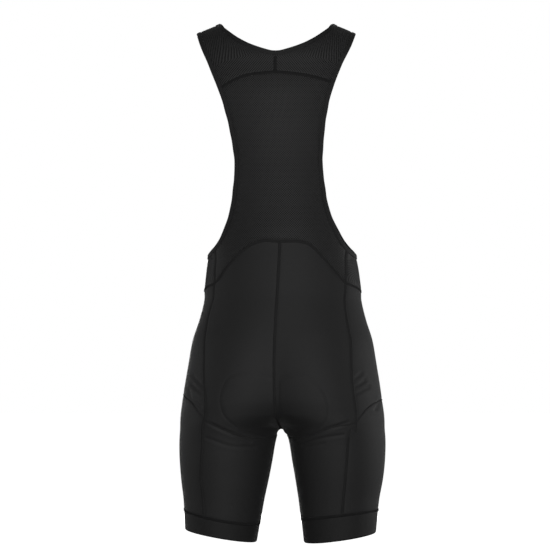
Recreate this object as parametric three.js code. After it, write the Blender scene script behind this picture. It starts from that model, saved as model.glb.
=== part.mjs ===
import * as THREE from "three";

// Cycling bib shorts as worn, hollow and standing upright, in millimetres.
// +Z is up, the front faces -Y and the wearer's left is +X. The origin lies midway between the
// tops of the shoulder straps, where the wearer's shoulders carry the garment.
// "Down" is the distance below the origin, and "side" is 1 on the wearer's left, -1 on the right.

const LYCRA = 1.6; // wall of the stretch panels
const MESH = 1.2; // wall of the open mesh panels
const BAND = 2; // wall of the leg bands
const PAD = 8; // middle of the seat pad
const PAD_RIM = 3; // edge of the seat pad
const PAD_CLEAR = 2.3; // from the panels to the pad, as both have flat facets
const BIND_WIDTH = 7; // binding, across
const BIND_RISE = 0.6; // binding, above and below the cloth that it holds
const TRIM = 0.2; // taken off each panel at a seam
const CROTCH_DOWN = 711;
const CROTCH_ROUND = 11; // half the width at which the legs part
const SHOULDER_INNER = 100; // where the strap's crest starts to fall outwards
const SHOULDER_FALL = 0.43; // fall of the crest for each millimetre outwards
const SHOULDER_HIGH = 60; // height of the rounded shoulder
const CHEST_DOWN = 250; // below this the sections are level again
const HORN_DOWN = 330; // where the front straps meet the bib
const PI = Math.PI;

const rad = (degrees) => (degrees * PI) / 180;
const clamp = (v, low, high) => Math.min(Math.max(v, low), high);
const mix = (a, b, f) => a + (b - a) * f;

// A smooth curve through each named column, read at a value of the first column.
function table(names, rows) {
  const keys = names.split(" ");
  const last = rows.length - 1;
  const slope = (i, c) => {
    const [a, b] = [rows[Math.max(i - 1, 0)], rows[Math.min(i + 1, last)]];
    return (b[c] - a[c]) / (b[0] - a[0]);
  };
  return (value) => {
    const at = clamp(value, rows[0][0], rows[last][0]);
    let i = 0;
    while (i < last - 1 && at > rows[i + 1][0]) i++;
    const step = rows[i + 1][0] - rows[i][0];
    const f = (at - rows[i][0]) / step;
    const [g, h] = [f * f * (3 - 2 * f), 1 - f];
    const read = {};
    keys.forEach((key, c) => {
      read[key] =
        mix(rows[i][c], rows[i + 1][c], g) +
        step * f * h * (h * slope(i, c) - f * slope(i + 1, c));
    });
    return read;
  };
}

// Level sections of the wearer. half: outline from the middle. centre: middle of the leg, 0 in
// the trunk. depth: middle of the section. back, front: reach from it. groove: how far the
// front closes in between the legs, 0 for a flat front and 1 for two full legs.
const BODY = table("down half centre depth back front groove", [
  [0, 200, 0, 0, 90, 78, 0],
  [60, 186, 0, 0, 92, 82, 0],
  [120, 170, 0, -2, 106, 98, 0],
  [200, 156, 0, -4, 113, 108, 0],
  [300, 143, 0, -10, 108, 108, 0],
  [360, 134.5, 0, -14, 104, 104, 0],
  [408, 131, 0, -15, 103, 103, 0],
  [436, 134.6, 0, -14, 103, 103, 0],
  [468, 138.2, 1, -11, 104, 104, 0],
  [486, 138.4, 6, -9, 106, 105, 0],
  [521, 147, 20, -5, 112, 108, 0],
  [556, 158.4, 36, -2, 119, 109, 0.05],
  [591, 164.6, 48, 0, 125, 109, 0.15],
  [627, 170.7, 57, 1, 128, 108, 0.35],
  [662, 176, 66, 1, 127, 106, 0.6],
  [686, 179.4, 77, 0, 122, 102, 0.82],
  [700, 180.4, 89, 0, 117, 99, 0.94],
  [711, 180.6, 95.8, 0, 112.5, 97, 1],
  [732, 182, 99.3, 0, 106, 95, 1],
  [767, 181.3, 101.4, 0, 99.5, 92, 1],
  [803, 177.8, 102.6, -1, 92, 86, 1],
  [838, 172.6, 103, -2, 84, 79, 1],
  [873, 169.8, 104, -3, 77, 73, 1],
  [912, 166.8, 105.2, -3, 70, 68, 1],
]);

// How the figure stands: sideways shift of the section and its turn about the upright axis.
const STANCE = table("down shift turn", [
  [0, 0, 0],
  [90, 2.5, 0],
  [240, -3.5, 0],
  [330, -6, -0.5],
  [380, -8.5, -1.8],
  [450, -9.8, -4.5],
  [520, -10.5, -6.5],
  [700, -10.5, -7],
  [790, -10, -6],
  [840, -8.5, -5],
  [912, -6.5, -4],
]);

const section = (down) => {
  const s = BODY(down);
  const outer = Math.hypot(s.half, CROTCH_ROUND);
  return { ...s, across: outer - s.centre };
};
const crestFall = (x, down) => {
  const past = Math.abs(x) - SHOULDER_INNER;
  return down > CHEST_DOWN ? 0 : (SHOULDER_FALL * (past + Math.hypot(past, 4))) / 2;
};
const crown = (h) => 1 - (1 - clamp(h / SHOULDER_HIGH, 0, 1)) ** 2; // squared width share
// Between the legs the front closes in less than the back does.
const inShare = (q, s, back) => (q < 0 ? q * (back ? mix(0.85, 1, s.groove) : s.groove) : q);

// Angle round a half section, from the outer side (0) over the back (+) or the front (-).
function endAngle(down) {
  const s = section(down);
  return s.centre - s.across < CROTCH_ROUND
    ? Math.acos((CROTCH_ROUND - s.centre) / s.across)
    : PI;
}
function bodyAt(side, angle, down) {
  const s = section(down);
  const q = inShare(Math.cos(angle), s, angle > 0);
  const wide = s.centre + s.across * Math.cos(angle);
  const reach = (angle > 0 ? s.back : -s.front) * Math.sqrt(Math.max(1 - q * q, 0));
  const x = side * Math.sqrt(Math.max(wide * wide - CROTCH_ROUND ** 2, 0));
  return [x, s.depth + reach, -down];
}
// Path over the shoulder: 0 on the crest, negative on the back and positive on the front.
const pathOf = (h) =>
  h < SHOULDER_HIGH
    ? SHOULDER_HIGH * Math.acos(1 - Math.max(h, 0) / SHOULDER_HIGH)
    : h + SHOULDER_HIGH * (PI / 2 - 1);
const heightOf = (path) =>
  Math.abs(path) < (SHOULDER_HIGH * PI) / 2
    ? SHOULDER_HIGH * (1 - Math.cos(path / SHOULDER_HIGH))
    : Math.abs(path) - SHOULDER_HIGH * (PI / 2 - 1);
function strapAt(x, path) {
  const h = heightOf(path);
  const s = section(h);
  const q = Math.hypot(x, CROTCH_ROUND) / s.across;
  const reach = (path < 0 ? s.back : -s.front) * Math.sqrt(crown(h) * (1 - q * q));
  return [x, s.depth + reach, -h - crestFall(x, h)];
}
const backAt = (x, down) => strapAt(x, -pathOf(down - crestFall(x, down)));

// Zero on the surface, positive outside it: its slope gives the way out.
function outside(x, y, z) {
  const h = -z - crestFall(x, -z);
  const s = section(h);
  const q = (Math.hypot(x, CROTCH_ROUND) - s.centre) / s.across;
  const inner = inShare(q, s, y > s.depth);
  const depth = y > s.depth ? s.back : s.front;
  return crown(h) * (inner * inner - 1) + ((y - s.depth) / depth) ** 2;
}
function wayOut([x, y, z]) {
  const e = 0.5;
  return new THREE.Vector3(
    outside(x + e, y, z) - outside(x - e, y, z),
    outside(x, y + e, z) - outside(x, y - e, z),
    outside(x, y, z + e) - outside(x, y, z - e),
  ).normalize();
}

// Moves a point out by so much, then stands it in the figure's stance.
function stand(point, out = 0) {
  const n = wayOut(point);
  const { shift, turn } = STANCE(-point[2]);
  const v = new THREE.Vector3(...point).addScaledVector(n, out);
  const axis = new THREE.Vector3(0, 0, 1);
  return {
    at: v.applyAxisAngle(axis, rad(turn)).add(new THREE.Vector3(shift, 0, 0)),
    out: n.applyAxisAngle(axis, rad(turn)),
  };
}

// The angle on the back at which a point is seen from behind at x, by halving.
function angleSeen(side, x, down) {
  let [low, high] = [0.001, endAngle(down)];
  for (let i = 0; i < 40; i++) {
    const angle = (low + high) / 2;
    const seen = stand(bodyAt(side, angle, down)).at.x;
    if (side * (seen - x) > 0) low = angle;
    else high = angle;
  }
  return (low + high) / 2;
}
const seenFromBehind = (side, rows) => rows.map(([x, d]) => [angleSeen(side, x, d), d]);

// Seams as they are seen from behind, each row [across, down].
const SEAMS = {
  1: {
    arch: [[110, 457], [101, 447], [87, 426], [65, 403], [42, 387], [20, 380.5]],
    side: [[110, 457], [111, 478], [117, 503], [122, 524], [127, 565], [128, 623], [128, 696]],
    underSeat: [[128, 696], [103, 709], [71, 721], [45, 727], [24, 728]],
    leg: [[128, 696], [131.5, 737], [134.5, 799], [128.5, 864]],
    hipOuter: 652,
    band: [866, 12.5, 7],
    hem: [900, 11, 5],
    yoke: [[45, 90], [71, 99], [97.5, 111]],
    pad: [[7, 623], [33, 615], [59, 612.5], [83.5, 621], [96, 642], [99, 665], [91, 690]],
  },
  "-1": {
    arch: [[-122, 456], [-114.5, 448], [-95, 426], [-76.5, 405], [-57, 387.5], [-36, 382]],
    side: [[-122, 456], [-121.5, 474], [-122.5, 510], [-131, 556], [-133, 623], [-139, 674],
      [-140, 702]],
    underSeat: [[-140, 702], [-96, 709], [-66, 720], [-46, 726], [-33, 728]],
    leg: [[-140, 702], [-127, 724], [-123, 767], [-120.5, 802], [-115, 858]],
    hipOuter: 662,
    band: [863, 8, 2],
    hem: [903, 8, 7],
    yoke: [[-33, 88], [-66, 93.5], [-98, 101]],
    pad: [[-6, 623], [-29, 616], [-52, 619], [-71, 632], [-85, 651], [-91, 674], [-89, 693]],
  },
};
const CENTRE_BACK_DOWN = 382.5; // top of the centre back seam
const CENTRE_FRONT_DOWN = 492; // top of the centre front seam
const INSEAM_DOWN = 723; // top of the inseam
const YOKE_SEAM = 85; // yoke seam at the centre back
const SIDE_TOP = [116, 399]; // where the side seam meets the armhole

// Edge of the cloth at the armhole, inside its binding, the same on the back and the front.
const ARMHOLE = [
  [14.7, 134], [33, 128], [49, 121], [63, 114.3], [81, 107], [99, 99.8], [116, 93.7],
  [134, 88], [151, 84.3], [169, 80], [187, 77.4], [204, 74.7], [222, 73], [240, 71.2],
  [275, 73], [292, 75.5], [310, 77.6], [330, 82], [345, 86.3], [363, 94], [380, 102],
  [390, 108.5], [399, 116], [406, 123.5], [410.5, 128.3],
];
const armholeHalf = table("down half", ARMHOLE);
// Edge of the cloth at the back of the neck, then at the front straps and the front scoop.
const NECK = [
  [0, 54.2], [8, 53.7], [18, 51.2], [36, 45.4], [50, 39.8], [62, 33.8], [72.5, 27.6], [81, 21.6],
  [89, 15.4], [98, 8.4],
];
const FRONT_INNER = [
  [98, 9.6], [90, 18], [84.5, 31], [79.5, 50], [66, 81], [53, 116], [43.8, 151], [35, 204],
  [32, 240], [33.5, 275], [37, 310], [41, 330],
];
const SCOOP = [
  [41, 330], [41, 352], [38.5, 378], [33, 403], [24, 421], [12, 431.5], [5, 434], [0, 434.4],
];
const CREST_INNER = 106.5; // where the neck edge crosses the crest of the shoulder
const FRONT_STEPS = 19; // columns from the side seam to the middle of the front

// Picks n + 1 points at even steps, or at the given shares, along a path of domain points.
function walk(points, place, n, shares) {
  const dense = [];
  points.slice(1).forEach((b, i) => {
    for (let j = 0; j < 24; j++) dense.push(b.map((v, c) => mix(points[i][c], v, j / 24)));
  });
  dense.push(points[points.length - 1]);
  const lengths = [0];
  dense.slice(1).forEach((p, i) => {
    const [a, b] = [place(...dense[i]), place(...p)];
    lengths.push(lengths[i] + Math.hypot(a[0] - b[0], a[1] - b[1], a[2] - b[2]));
  });
  const total = lengths[lengths.length - 1];
  return Array.from({ length: n + 1 }, (_, i) => {
    const goal = total * (shares ? shares[i] : i / n);
    let j = 0;
    while (j < lengths.length - 2 && lengths[j + 1] < goal) j++;
    const f = clamp((goal - lengths[j]) / (lengths[j + 1] - lengths[j] || 1), 0, 1);
    return dense[j].map((v, c) => mix(v, dense[j + 1][c], f));
  });
}
const curve = (rows, steps = 8) => {
  const at = table("t a b", rows.map(([a, b], i) => [i, a, b]));
  return Array.from({ length: (rows.length - 1) * steps + 1 }, (_, i) => {
    const { a, b } = at(i / steps);
    return [a, b];
  });
};
const angleOf = (x, d) => Math.acos(Math.min(Math.hypot(x, CROTCH_ROUND) / section(d).across, 1));
const onBody = (side) => (angle, down) => bodyAt(side, angle, down);

// Fills a four-sided patch between its edges. Rows run from top to bottom.
function fill(top, bottom, first, last) {
  const [nu, nv] = [top.length - 1, first.length - 1];
  return first.map((_, j) =>
    top.map((_, i) => {
      const [u, v] = [i / nu, j / nv];
      return [0, 1].map(
        (c) =>
          mix(top[i][c], bottom[i][c], v) +
          mix(first[j][c], last[j][c], u) -
          mix(mix(top[0][c], top[nu][c], u), mix(bottom[0][c], bottom[nu][c], u), v),
      );
    }),
  );
}

// Shares of the length at which the rows of the seat, the middle and the leg lie.
const SEAT_SHARES = [0, 0.1, 0.2, 0.3, 0.4, 0.5, 0.6, 0.7, 0.79, 0.87, 0.94, 0.975, 1];
const MIDDLE_SHARES = [0, 0.13, 0.26, 0.38, 0.49, 0.59, 0.68, 0.76, 0.83, 0.89, 0.945, 1];
const LEG_SHARES = [0, 0.05, 0.14, 0.34, 0.56, 0.78, 1];
// The fold under each seat half: the cloth sinks along the seam there.
const FOLD_DEEP = 3.2;
const FOLD_WIDE = 10;
function foldAt(angle, down, line, wide) {
  if (angle <= 0) return 0;
  const near = line.reduce((a, b) => (Math.abs(b[0] - angle) < Math.abs(a[0] - angle) ? b : a));
  const start = line[0][0];
  const share = clamp((angle - start) / (PI - start), 0, 1);
  const strength = Math.sin(PI * clamp(share * 0.8 + 0.05, 0, 1)) ** 2;
  return -FOLD_DEEP * strength * Math.exp(-(((down - near[1]) / wide) ** 2));
}

// Everything that two neighbours share, worked out once for each side.
function seamsOf(side) {
  const rows = SEAMS[side];
  const place = onBody(side);
  const sideTop = [angleOf(...SIDE_TOP), SIDE_TOP[1]];
  const archEnd = [[endAngle(CENTRE_BACK_DOWN), CENTRE_BACK_DOWN]];
  const arch = walk([...curve(seenFromBehind(side, rows.arch)), ...archEnd], place, 10);
  const sideLow = walk(curve(seenFromBehind(side, rows.side)), place, 12, SEAT_SHARES);
  const corner = arch[0];
  sideLow[0] = corner;
  const sideUp = walk([sideTop, corner], place, 4);
  const inseamTop = [PI, INSEAM_DOWN];
  const under = walk(
    curve([...seenFromBehind(side, rows.underSeat), [PI - 0.25, INSEAM_DOWN + 3], inseamTop]),
    place,
    10,
  );
  under[0] = sideLow[12];
  const meet = under[0];
  const middle = (sign, from) => {
    const down = Array.from({ length: 41 }, (_, i) => {
      const d = mix(from, CROTCH_DOWN, Math.sin((PI / 2) * (i / 40)));
      return [sign * endAngle(d), d];
    });
    down[40] = [sign * PI, CROTCH_DOWN];
    return [...walk(down, place, 11, MIDDLE_SHARES), [sign * PI, INSEAM_DOWN]];
  };
  const round = ([mean, rise, back], angle) => mean - rise * Math.cos(angle) + back * Math.sin(angle);
  const bandAt = (angle) => [angle, round(rows.band, angle)];
  const hemAt = (angle) => [angle, round(rows.hem, angle)];
  const legEnd = seenFromBehind(side, rows.leg.slice(-1))[0];
  const leg = walk(
    [...curve(seenFromBehind(side, rows.leg.slice(0, -1))), bandAt(legEnd[0])],
    place,
    6,
    LEG_SHARES,
  );
  leg[0] = meet;
  const sweep = (from, to, at) => Array.from({ length: 61 }, (_, i) => at(mix(from, to, i / 60)));
  const bandBack = walk(sweep(leg[6][0], PI, bandAt), place, 10);
  const bandFront = walk(sweep(leg[6][0], -PI, bandAt), place, FRONT_STEPS);
  const inseam = walk([inseamTop, bandAt(PI)], place, 6, LEG_SHARES);
  const hip = walk(
    curve([
      meet,
      [meet[0] * 0.55, mix(meet[1], rows.hipOuter, 0.75)],
      [0, rows.hipOuter],
      [-0.9, 664],
      [-1.9, 697],
      [-2.6, 718],
      [-PI, INSEAM_DOWN],
    ]),
    place,
    FRONT_STEPS,
  );
  // Front: the armhole, the end of the strap and the scoop, then the seam under the bib.
  const hornOuter = -angleOf(armholeHalf(HORN_DOWN).half, HORN_DOWN);
  const low = ARMHOLE.filter(([d]) => d > SIDE_TOP[1]);
  const high = ARMHOLE.filter(([d]) => d > HORN_DOWN).reverse();
  const armLow = walk(
    curve([
      sideTop,
      ...low.map(([d, x]) => [angleOf(x, d), d]),
      [0, 413.5],
      ...high.map(([d, x]) => [-angleOf(x, d), d]),
      [hornOuter, HORN_DOWN],
    ]),
    place,
    9,
  );
  const horn = walk([[hornOuter, HORN_DOWN], [-angleOf(41, HORN_DOWN), HORN_DOWN]], place, 4);
  const scoop = walk(curve(SCOOP.map(([x, d]) => [-angleOf(x, d), d])), place, 6);
  const bibTop = [...armLow, ...horn.slice(1), ...scoop.slice(1)];
  const bibLow = table("turned down", [[-1.6, 492], [-1, 482], [0, 470], [corner[0], corner[1]]]);
  const bibEnd = -endAngle(CENTRE_FRONT_DOWN);
  const bibSeam = bibTop.map(([angle], i) => {
    if (!i) return corner;
    const evenly = mix(corner[0], bibEnd, i / FRONT_STEPS);
    const at = i === FRONT_STEPS ? bibEnd : mix(angle, evenly, i < 9 ? 0.5 : 0.25);
    return [at, bibLow(at).down];
  });
  const scoopEnd = bibTop[FRONT_STEPS];
  const bibMiddle = Array.from({ length: 5 }, (_, j) => {
    const d = mix(scoopEnd[1], bibSeam[FRONT_STEPS][1], j / 4);
    return [-endAngle(d), d];
  });
  return {
    side, place, arch, sideUp, sideLow, under, leg, bandBack, bandFront, inseam, hip, hemAt,
    bibTop, bibSeam, bibMiddle,
    centreBack: middle(1, CENTRE_BACK_DOWN),
    centreFront: middle(-1, bibSeam[FRONT_STEPS][1]),
    mirror: (list) => list.map(([angle, down]) => [-angle, down]),
  };
}
const SIDES = [1, -1].map(seamsOf);

// Places a grid of domain points, with the fold, as points and ways out.
function lay(grid, place, relief = () => 0) {
  return grid.map((row) => row.map((p) => stand(place(...p), relief(...p))));
}
const foldOf =
  (seams, wide = FOLD_WIDE) =>
  (angle, down) =>
    foldAt(angle, down, seams.under, wide);

// Takes the seam allowance off a laid grid, all round or only along its first and last rows.
function trim(laid, ring = false) {
  const [nv, nu] = [laid.length - 1, laid[0].length - 1];
  const step = (a, b) => b.clone().sub(a);
  const moves = laid.map((row) => row.map(() => new THREE.Vector3()));
  const push = (j, i, j2, i2, along) => {
    const way = step(laid[j][i].at, laid[j2][i2].at);
    const line = along.normalize();
    way.addScaledVector(line, -way.dot(line));
    way.addScaledVector(laid[j][i].out, -way.dot(laid[j][i].out)).setLength(TRIM);
    moves[j][i].add(way);
  };
  for (let i = 0; i <= nu; i++) {
    const [a, b] = ring
      ? [(i + nu) % (nu + 1), (i + 1) % (nu + 1)]
      : [Math.max(i - 1, 0), Math.min(i + 1, nu)];
    push(0, i, 1, i, step(laid[0][a].at, laid[0][b].at));
    push(nv, i, nv - 1, i, step(laid[nv][a].at, laid[nv][b].at));
  }
  for (let j = 0; j <= nv && !ring; j++) {
    const [a, b] = [Math.max(j - 1, 0), Math.min(j + 1, nv)];
    push(j, 0, j, 1, step(laid[a][0].at, laid[b][0].at));
    push(j, nu, j, nu - 1, step(laid[a][nu].at, laid[b][nu].at));
  }
  return laid.map((row, j) =>
    row.map(({ at, out }, i) => ({ at: at.clone().add(moves[j][i]), out })),
  );
}

const group = new THREE.Group();
group.name = "bib_shorts";
const CLOTH = new THREE.MeshStandardMaterial({ color: 0x1c1c1e, roughness: 0.7 });
const NET = new THREE.MeshStandardMaterial({ color: 0x242426, roughness: 0.85 });
const TRIMMING = new THREE.MeshStandardMaterial({ color: 0x151517, roughness: 0.6 });
const FOAM = new THREE.MeshStandardMaterial({ color: 0x2b2d31, roughness: 0.95 });

function addMesh(name, material, points, faces) {
  const geometry = new THREE.BufferGeometry().setFromPoints(points);
  geometry.setIndex(faces.flat());
  geometry.computeVertexNormals();
  const mesh = new THREE.Mesh(geometry, material);
  mesh.name = name;
  group.add(mesh);
}

// Closes a laid grid into a wall. thick and lift give the wall's thickness, and how far out its
// outer face lies, from the shares along its columns and rows.
function addWall(name, material, laid, thick, ring = false, lift = () => 0) {
  const [rows, columns] = [laid.length, laid[0].length];
  const points = [];
  const faces = [];
  const put = (node, out) => points.push(node.at.clone().addScaledVector(node.out, out)) - 1;
  const share = (j, i) => [i / (columns - 1), j / (rows - 1)];
  const outer = laid.map((row, j) => row.map((n, i) => put(n, lift(...share(j, i)))));
  const inner = laid.map((row, j) =>
    row.map((n, i) => put(n, lift(...share(j, i)) - thick(...share(j, i)))),
  );
  const wrap = (i) => (ring ? i % columns : i);
  const spans = ring ? columns : columns - 1;
  const normal = (a, b, c) =>
    points[b].clone().sub(points[a]).cross(points[c].clone().sub(points[a]));
  const [mj, mi] = [Math.floor(rows / 2) - (rows > 2 ? 0 : 1), Math.floor(columns / 2)];
  const test = normal(outer[mj][mi], outer[mj][wrap(mi + 1)], outer[mj + 1][mi]);
  const forward = test.dot(laid[mj][mi].out) > 0;
  const quad = (a, b, c, d) => {
    const short = points[a].distanceTo(points[c]) < points[b].distanceTo(points[d]);
    const pair = short ? [[a, b, c], [a, c, d]] : [[a, b, d], [b, c, d]];
    faces.push(...(forward ? pair : pair.map(([p, q, r]) => [p, r, q])));
  };
  for (let j = 0; j < rows - 1; j++)
    for (let i = 0; i < spans; i++) {
      const k = wrap(i + 1);
      quad(outer[j][i], outer[j][k], outer[j + 1][k], outer[j + 1][i]);
      quad(inner[j][i], inner[j + 1][i], inner[j + 1][k], inner[j][k]);
    }
  for (let i = 0; i < spans; i++) {
    const k = wrap(i + 1);
    const end = rows - 1;
    quad(outer[0][k], outer[0][i], inner[0][i], inner[0][k]);
    quad(outer[end][i], outer[end][k], inner[end][k], inner[end][i]);
  }
  for (let j = 0; j < rows - 1 && !ring; j++) {
    const end = columns - 1;
    quad(outer[j][0], outer[j + 1][0], inner[j + 1][0], inner[j][0]);
    quad(outer[j + 1][end], outer[j][end], inner[j][end], inner[j + 1][end]);
  }
  addMesh(name, material, points, faces);
}
const even = (thick) => () => thick;

// A binding runs round a closed edge, outwards from the cloth.
function addBinding(name, edge) {
  const n = edge.length;
  const shape = [[TRIM, BIND_RISE], [5.6, BIND_RISE], [BIND_WIDTH, -MESH / 2],
    [5.6, -MESH - BIND_RISE], [TRIM, -MESH - BIND_RISE]];
  const points = [];
  edge.forEach(({ at, out, away }, i) => {
    const line = edge[(i + 1) % n].at.clone().sub(edge[(i + n - 1) % n].at).normalize();
    const way = new THREE.Vector3().crossVectors(line, out).normalize();
    if (way.dot(away) < 0) way.negate();
    shape.forEach(([across, up]) =>
      points.push(at.clone().addScaledVector(way, across).addScaledVector(out, up)),
    );
  });
  const m = shape.length;
  const faces = [];
  for (let i = 0; i < n; i++)
    for (let j = 0; j < m; j++) {
      const [a, b] = [i * m + j, i * m + ((j + 1) % m)];
      const [c, d] = [((i + 1) % n) * m + ((j + 1) % m), ((i + 1) % n) * m + j];
      faces.push([a, b, c], [a, c, d]);
    }
  let volume = 0;
  faces.forEach(([a, b, c]) => {
    volume += points[a].dot(new THREE.Vector3().crossVectors(points[b], points[c]));
  });
  addMesh(name, TRIMMING, points, volume > 0 ? faces : faces.map(([a, b, c]) => [a, c, b]));
}

// Edges of a yoke half with its strap, in x and path over the shoulder.
function strapEdges(side) {
  const toPath = (x, d, front) => [side * x, (front ? 1 : -1) * pathOf(d - crestFall(x, d))];
  const onBack = (rows) => rows.map(([x, d]) => toPath(x, d, false));
  const [inner, middle, outer] = SEAMS[side].yoke.map(([x, d]) => [side * x, d]);
  const endDown = outer[1] + 1.5; // the seam ends a little lower at the armhole
  const end = [armholeHalf(endDown).half, endDown];
  const yoke = curve([[0, YOKE_SEAM], inner, middle, end]);
  const start = walk(onBack(yoke), strapAt, 4);
  const centre = walk(onBack([[0, YOKE_SEAM], NECK[0]]), strapAt, 2);
  const crest = [side * CREST_INNER, 0];
  const neck = walk([...onBack(curve(NECK)), crest], strapAt, 7);
  const front = curve(FRONT_INNER).map(([x, d]) => toPath(x, d, true));
  const chest = walk([crest, ...front], strapAt, 19);
  const arm = (isFront, low) => {
    const list = [[side * ARMHOLE[0][1], 0]];
    for (let i = 1; i <= 60; i++) {
      const d = mix(ARMHOLE[0][0] + 1, low, i / 60);
      list.push(toPath(armholeHalf(d).half, d, isFront));
    }
    return list;
  };
  const armBack = walk(arm(false, end[1]).reverse(), strapAt, 9);
  const armFront = walk(arm(true, HORN_DOWN), strapAt, 19);
  const finish = walk([chest[19], armFront[19]], strapAt, 4);
  return {
    start, finish, end,
    inner: [...centre, ...neck.slice(1), ...chest.slice(1)],
    outer: [...armBack, ...armFront.slice(1)],
  };
}
const STRAPS = [1, -1].map(strapEdges);

// Back mesh, in x and down.
const [L, R] = SIDES;
const flat = (seams, list) => list.map(([a, d]) => [seams.place(a, d)[0], d]);
function meshEdge(seams, strap) {
  const { side } = seams;
  const rows = [];
  for (let i = 0; i <= 60; i++) {
    const d = mix(strap.end[1], SIDE_TOP[1], i / 60);
    rows.push([side * armholeHalf(d).half, d]);
  }
  const down = walk(rows, backAt, 11);
  return [...down, ...flat(seams, seams.sideUp).slice(1)];
}
const yokeLine = (seams, strap) => {
  const list = strap.start.map(([x, path]) => [x, heightOf(path) + crestFall(x, heightOf(path))]);
  return walk(list, backAt, 10);
};
const [edgeLeft, edgeRight] = SIDES.map((s, i) => meshEdge(s, STRAPS[i]));
const [yokeLeft, yokeRight] = SIDES.map((s, i) => yokeLine(s, STRAPS[i]));
const meshTop = [...yokeLeft.slice().reverse(), ...yokeRight.slice(1)];
const meshLow = [...flat(L, L.arch), ...flat(R, R.arch).reverse().slice(1)];
meshTop[0] = edgeLeft[0];
meshTop[20] = edgeRight[0];
const backGrid = lay(fill(meshTop, meshLow, edgeLeft, edgeRight), backAt);
addWall("back_mesh", NET, trim(backGrid), even(MESH));

const LEFT_RIGHT = ["left", "right"];
SIDES.forEach((s, i) => {
  const name = LEFT_RIGHT[i];
  const strap = STRAPS[i];
  const yoke = fill(strap.start, strap.finish, strap.inner, strap.outer);
  strap.laid = lay(yoke, strapAt);
  addWall("yoke_strap_" + name, NET, trim(strap.laid), even(MESH));

  const seat = lay(fill(s.arch, s.under, s.sideLow, s.centreBack), s.place, foldOf(s));
  addWall("seat_" + name, CLOTH, trim(seat), even(LYCRA));

  const hip = lay(fill(s.bibSeam, s.hip, s.sideLow, s.centreFront), s.place, foldOf(s));
  addWall("hip_front_" + name, CLOTH, trim(hip), even(LYCRA));

  const thigh = fill(s.hip, s.bandFront, s.leg, s.mirror(s.inseam));
  addWall("thigh_front_" + name, CLOTH, trim(lay(thigh, s.place, foldOf(s))), even(LYCRA));

  const back = fill(s.under, s.bandBack, s.leg, s.inseam);
  addWall("back_leg_" + name, CLOTH, trim(lay(back, s.place, foldOf(s))), even(LYCRA));

  const top = [...s.bandBack.slice().reverse(), ...s.bandFront.slice(1, -1)];
  const ring = [top, top.map(([angle]) => s.hemAt(angle))];
  addWall("leg_band_" + name, TRIMMING, trim(lay(ring, s.place), true), even(BAND), true);
});

// Front bib: both halves joined on the middle line.
const bibHalf = (s) => fill(s.bibTop, s.bibSeam, s.sideUp, s.bibMiddle);
const [bibLeft, bibRight] = SIDES.map((s) => lay(bibHalf(s), s.place));
const bib = bibLeft.map((row, j) => [...row, ...bibRight[j].slice().reverse().slice(1)]);
addWall("front_bib", NET, trim(bib), even(MESH));

// Bindings: round the neck, and round each armhole.
const away = (node, inside) => ({ ...node, away: node.at.clone().sub(inside.at) });
const strapEdge = (i, column, next, from, to) =>
  STRAPS[i].laid.slice(from, to).map((row) => away(row.at(column), row.at(next)));
const bibEdge = (from, to) => bib[0].slice(from, to).map((n, i) => away(n, bib[1][from + i]));
addBinding("neck_binding", [
  ...strapEdge(0, 0, 1, 2),
  ...bibEdge(14, 25),
  ...strapEdge(1, 0, 1, 3).reverse(),
]);
const armhole = (i) => {
  const [edge, next] = i ? [20, 19] : [0, 1];
  const back = backGrid.slice(0, 12).map((row) => away(row[edge], row[next]));
  const low = i ? bibEdge(30, 38).reverse() : bibEdge(1, 9);
  return [...back, ...low, ...strapEdge(i, -1, -2, 1).reverse()];
};
LEFT_RIGHT.forEach((name, i) => addBinding("armhole_binding_" + name, armhole(i)));

// Seat pad: four quarters round the point where the legs part, laid inside the panels.
function padQuarter(s, back) {
  const sign = back ? 1 : -1;
  const edge = back
    ? seenFromBehind(s.side, SEAMS[s.side].pad)
    : [[-1.72, 652], [-1.6, 652], [-1.42, 655], [-1.36, 664], [-1.5, 680], [-1.8, 697]];
  const low = [sign * PI, 742];
  const topDown = back ? 624 : 652;
  const corner = back ? 4 : 3;
  const top = [[sign * endAngle(topDown), topDown], ...edge.slice(back ? 0 : 1, corner + 1)];
  const outer = [...edge.slice(corner), [sign * 2.5, back ? 724 : 722], [sign * 2.9, 742], low];
  const middle = Array.from({ length: 41 }, (_, i) => {
    const d = mix(topDown, CROTCH_DOWN, Math.sin((PI / 2) * (i / 40)));
    return [sign * endAngle(d), d];
  });
  middle[40] = [sign * PI, CROTCH_DOWN];
  const n = back ? 8 : 5;
  return lay(
    fill(
      walk(curve(top), s.place, 6),
      walk([[sign * PI, CROTCH_DOWN], low], s.place, 6),
      walk(middle, s.place, n),
      walk(curve(outer), s.place, n),
    ),
    s.place,
    foldOf(s, 28),
  );
}
const halves = SIDES.map((s) => [
  ...padQuarter(s, true),
  ...padQuarter(s, false).reverse().slice(1),
]);
const padGrid = halves[0].map((row, j) => [...row.slice().reverse(), ...halves[1][j].slice(1)]);
const padThick = (u, v) =>
  mix(PAD_RIM, PAD, Math.sqrt(clamp(8 * Math.min(u, 1 - u, v, 1 - v), 0, 1)));
addWall("seat_pad", FOAM, padGrid, padThick, false, even(-LYCRA - PAD_CLEAR));

export default group;
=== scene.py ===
"""Cycling bib shorts as worn: stretch panels, mesh panels, bindings, seams, bands and seat pad."""

import math

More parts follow.
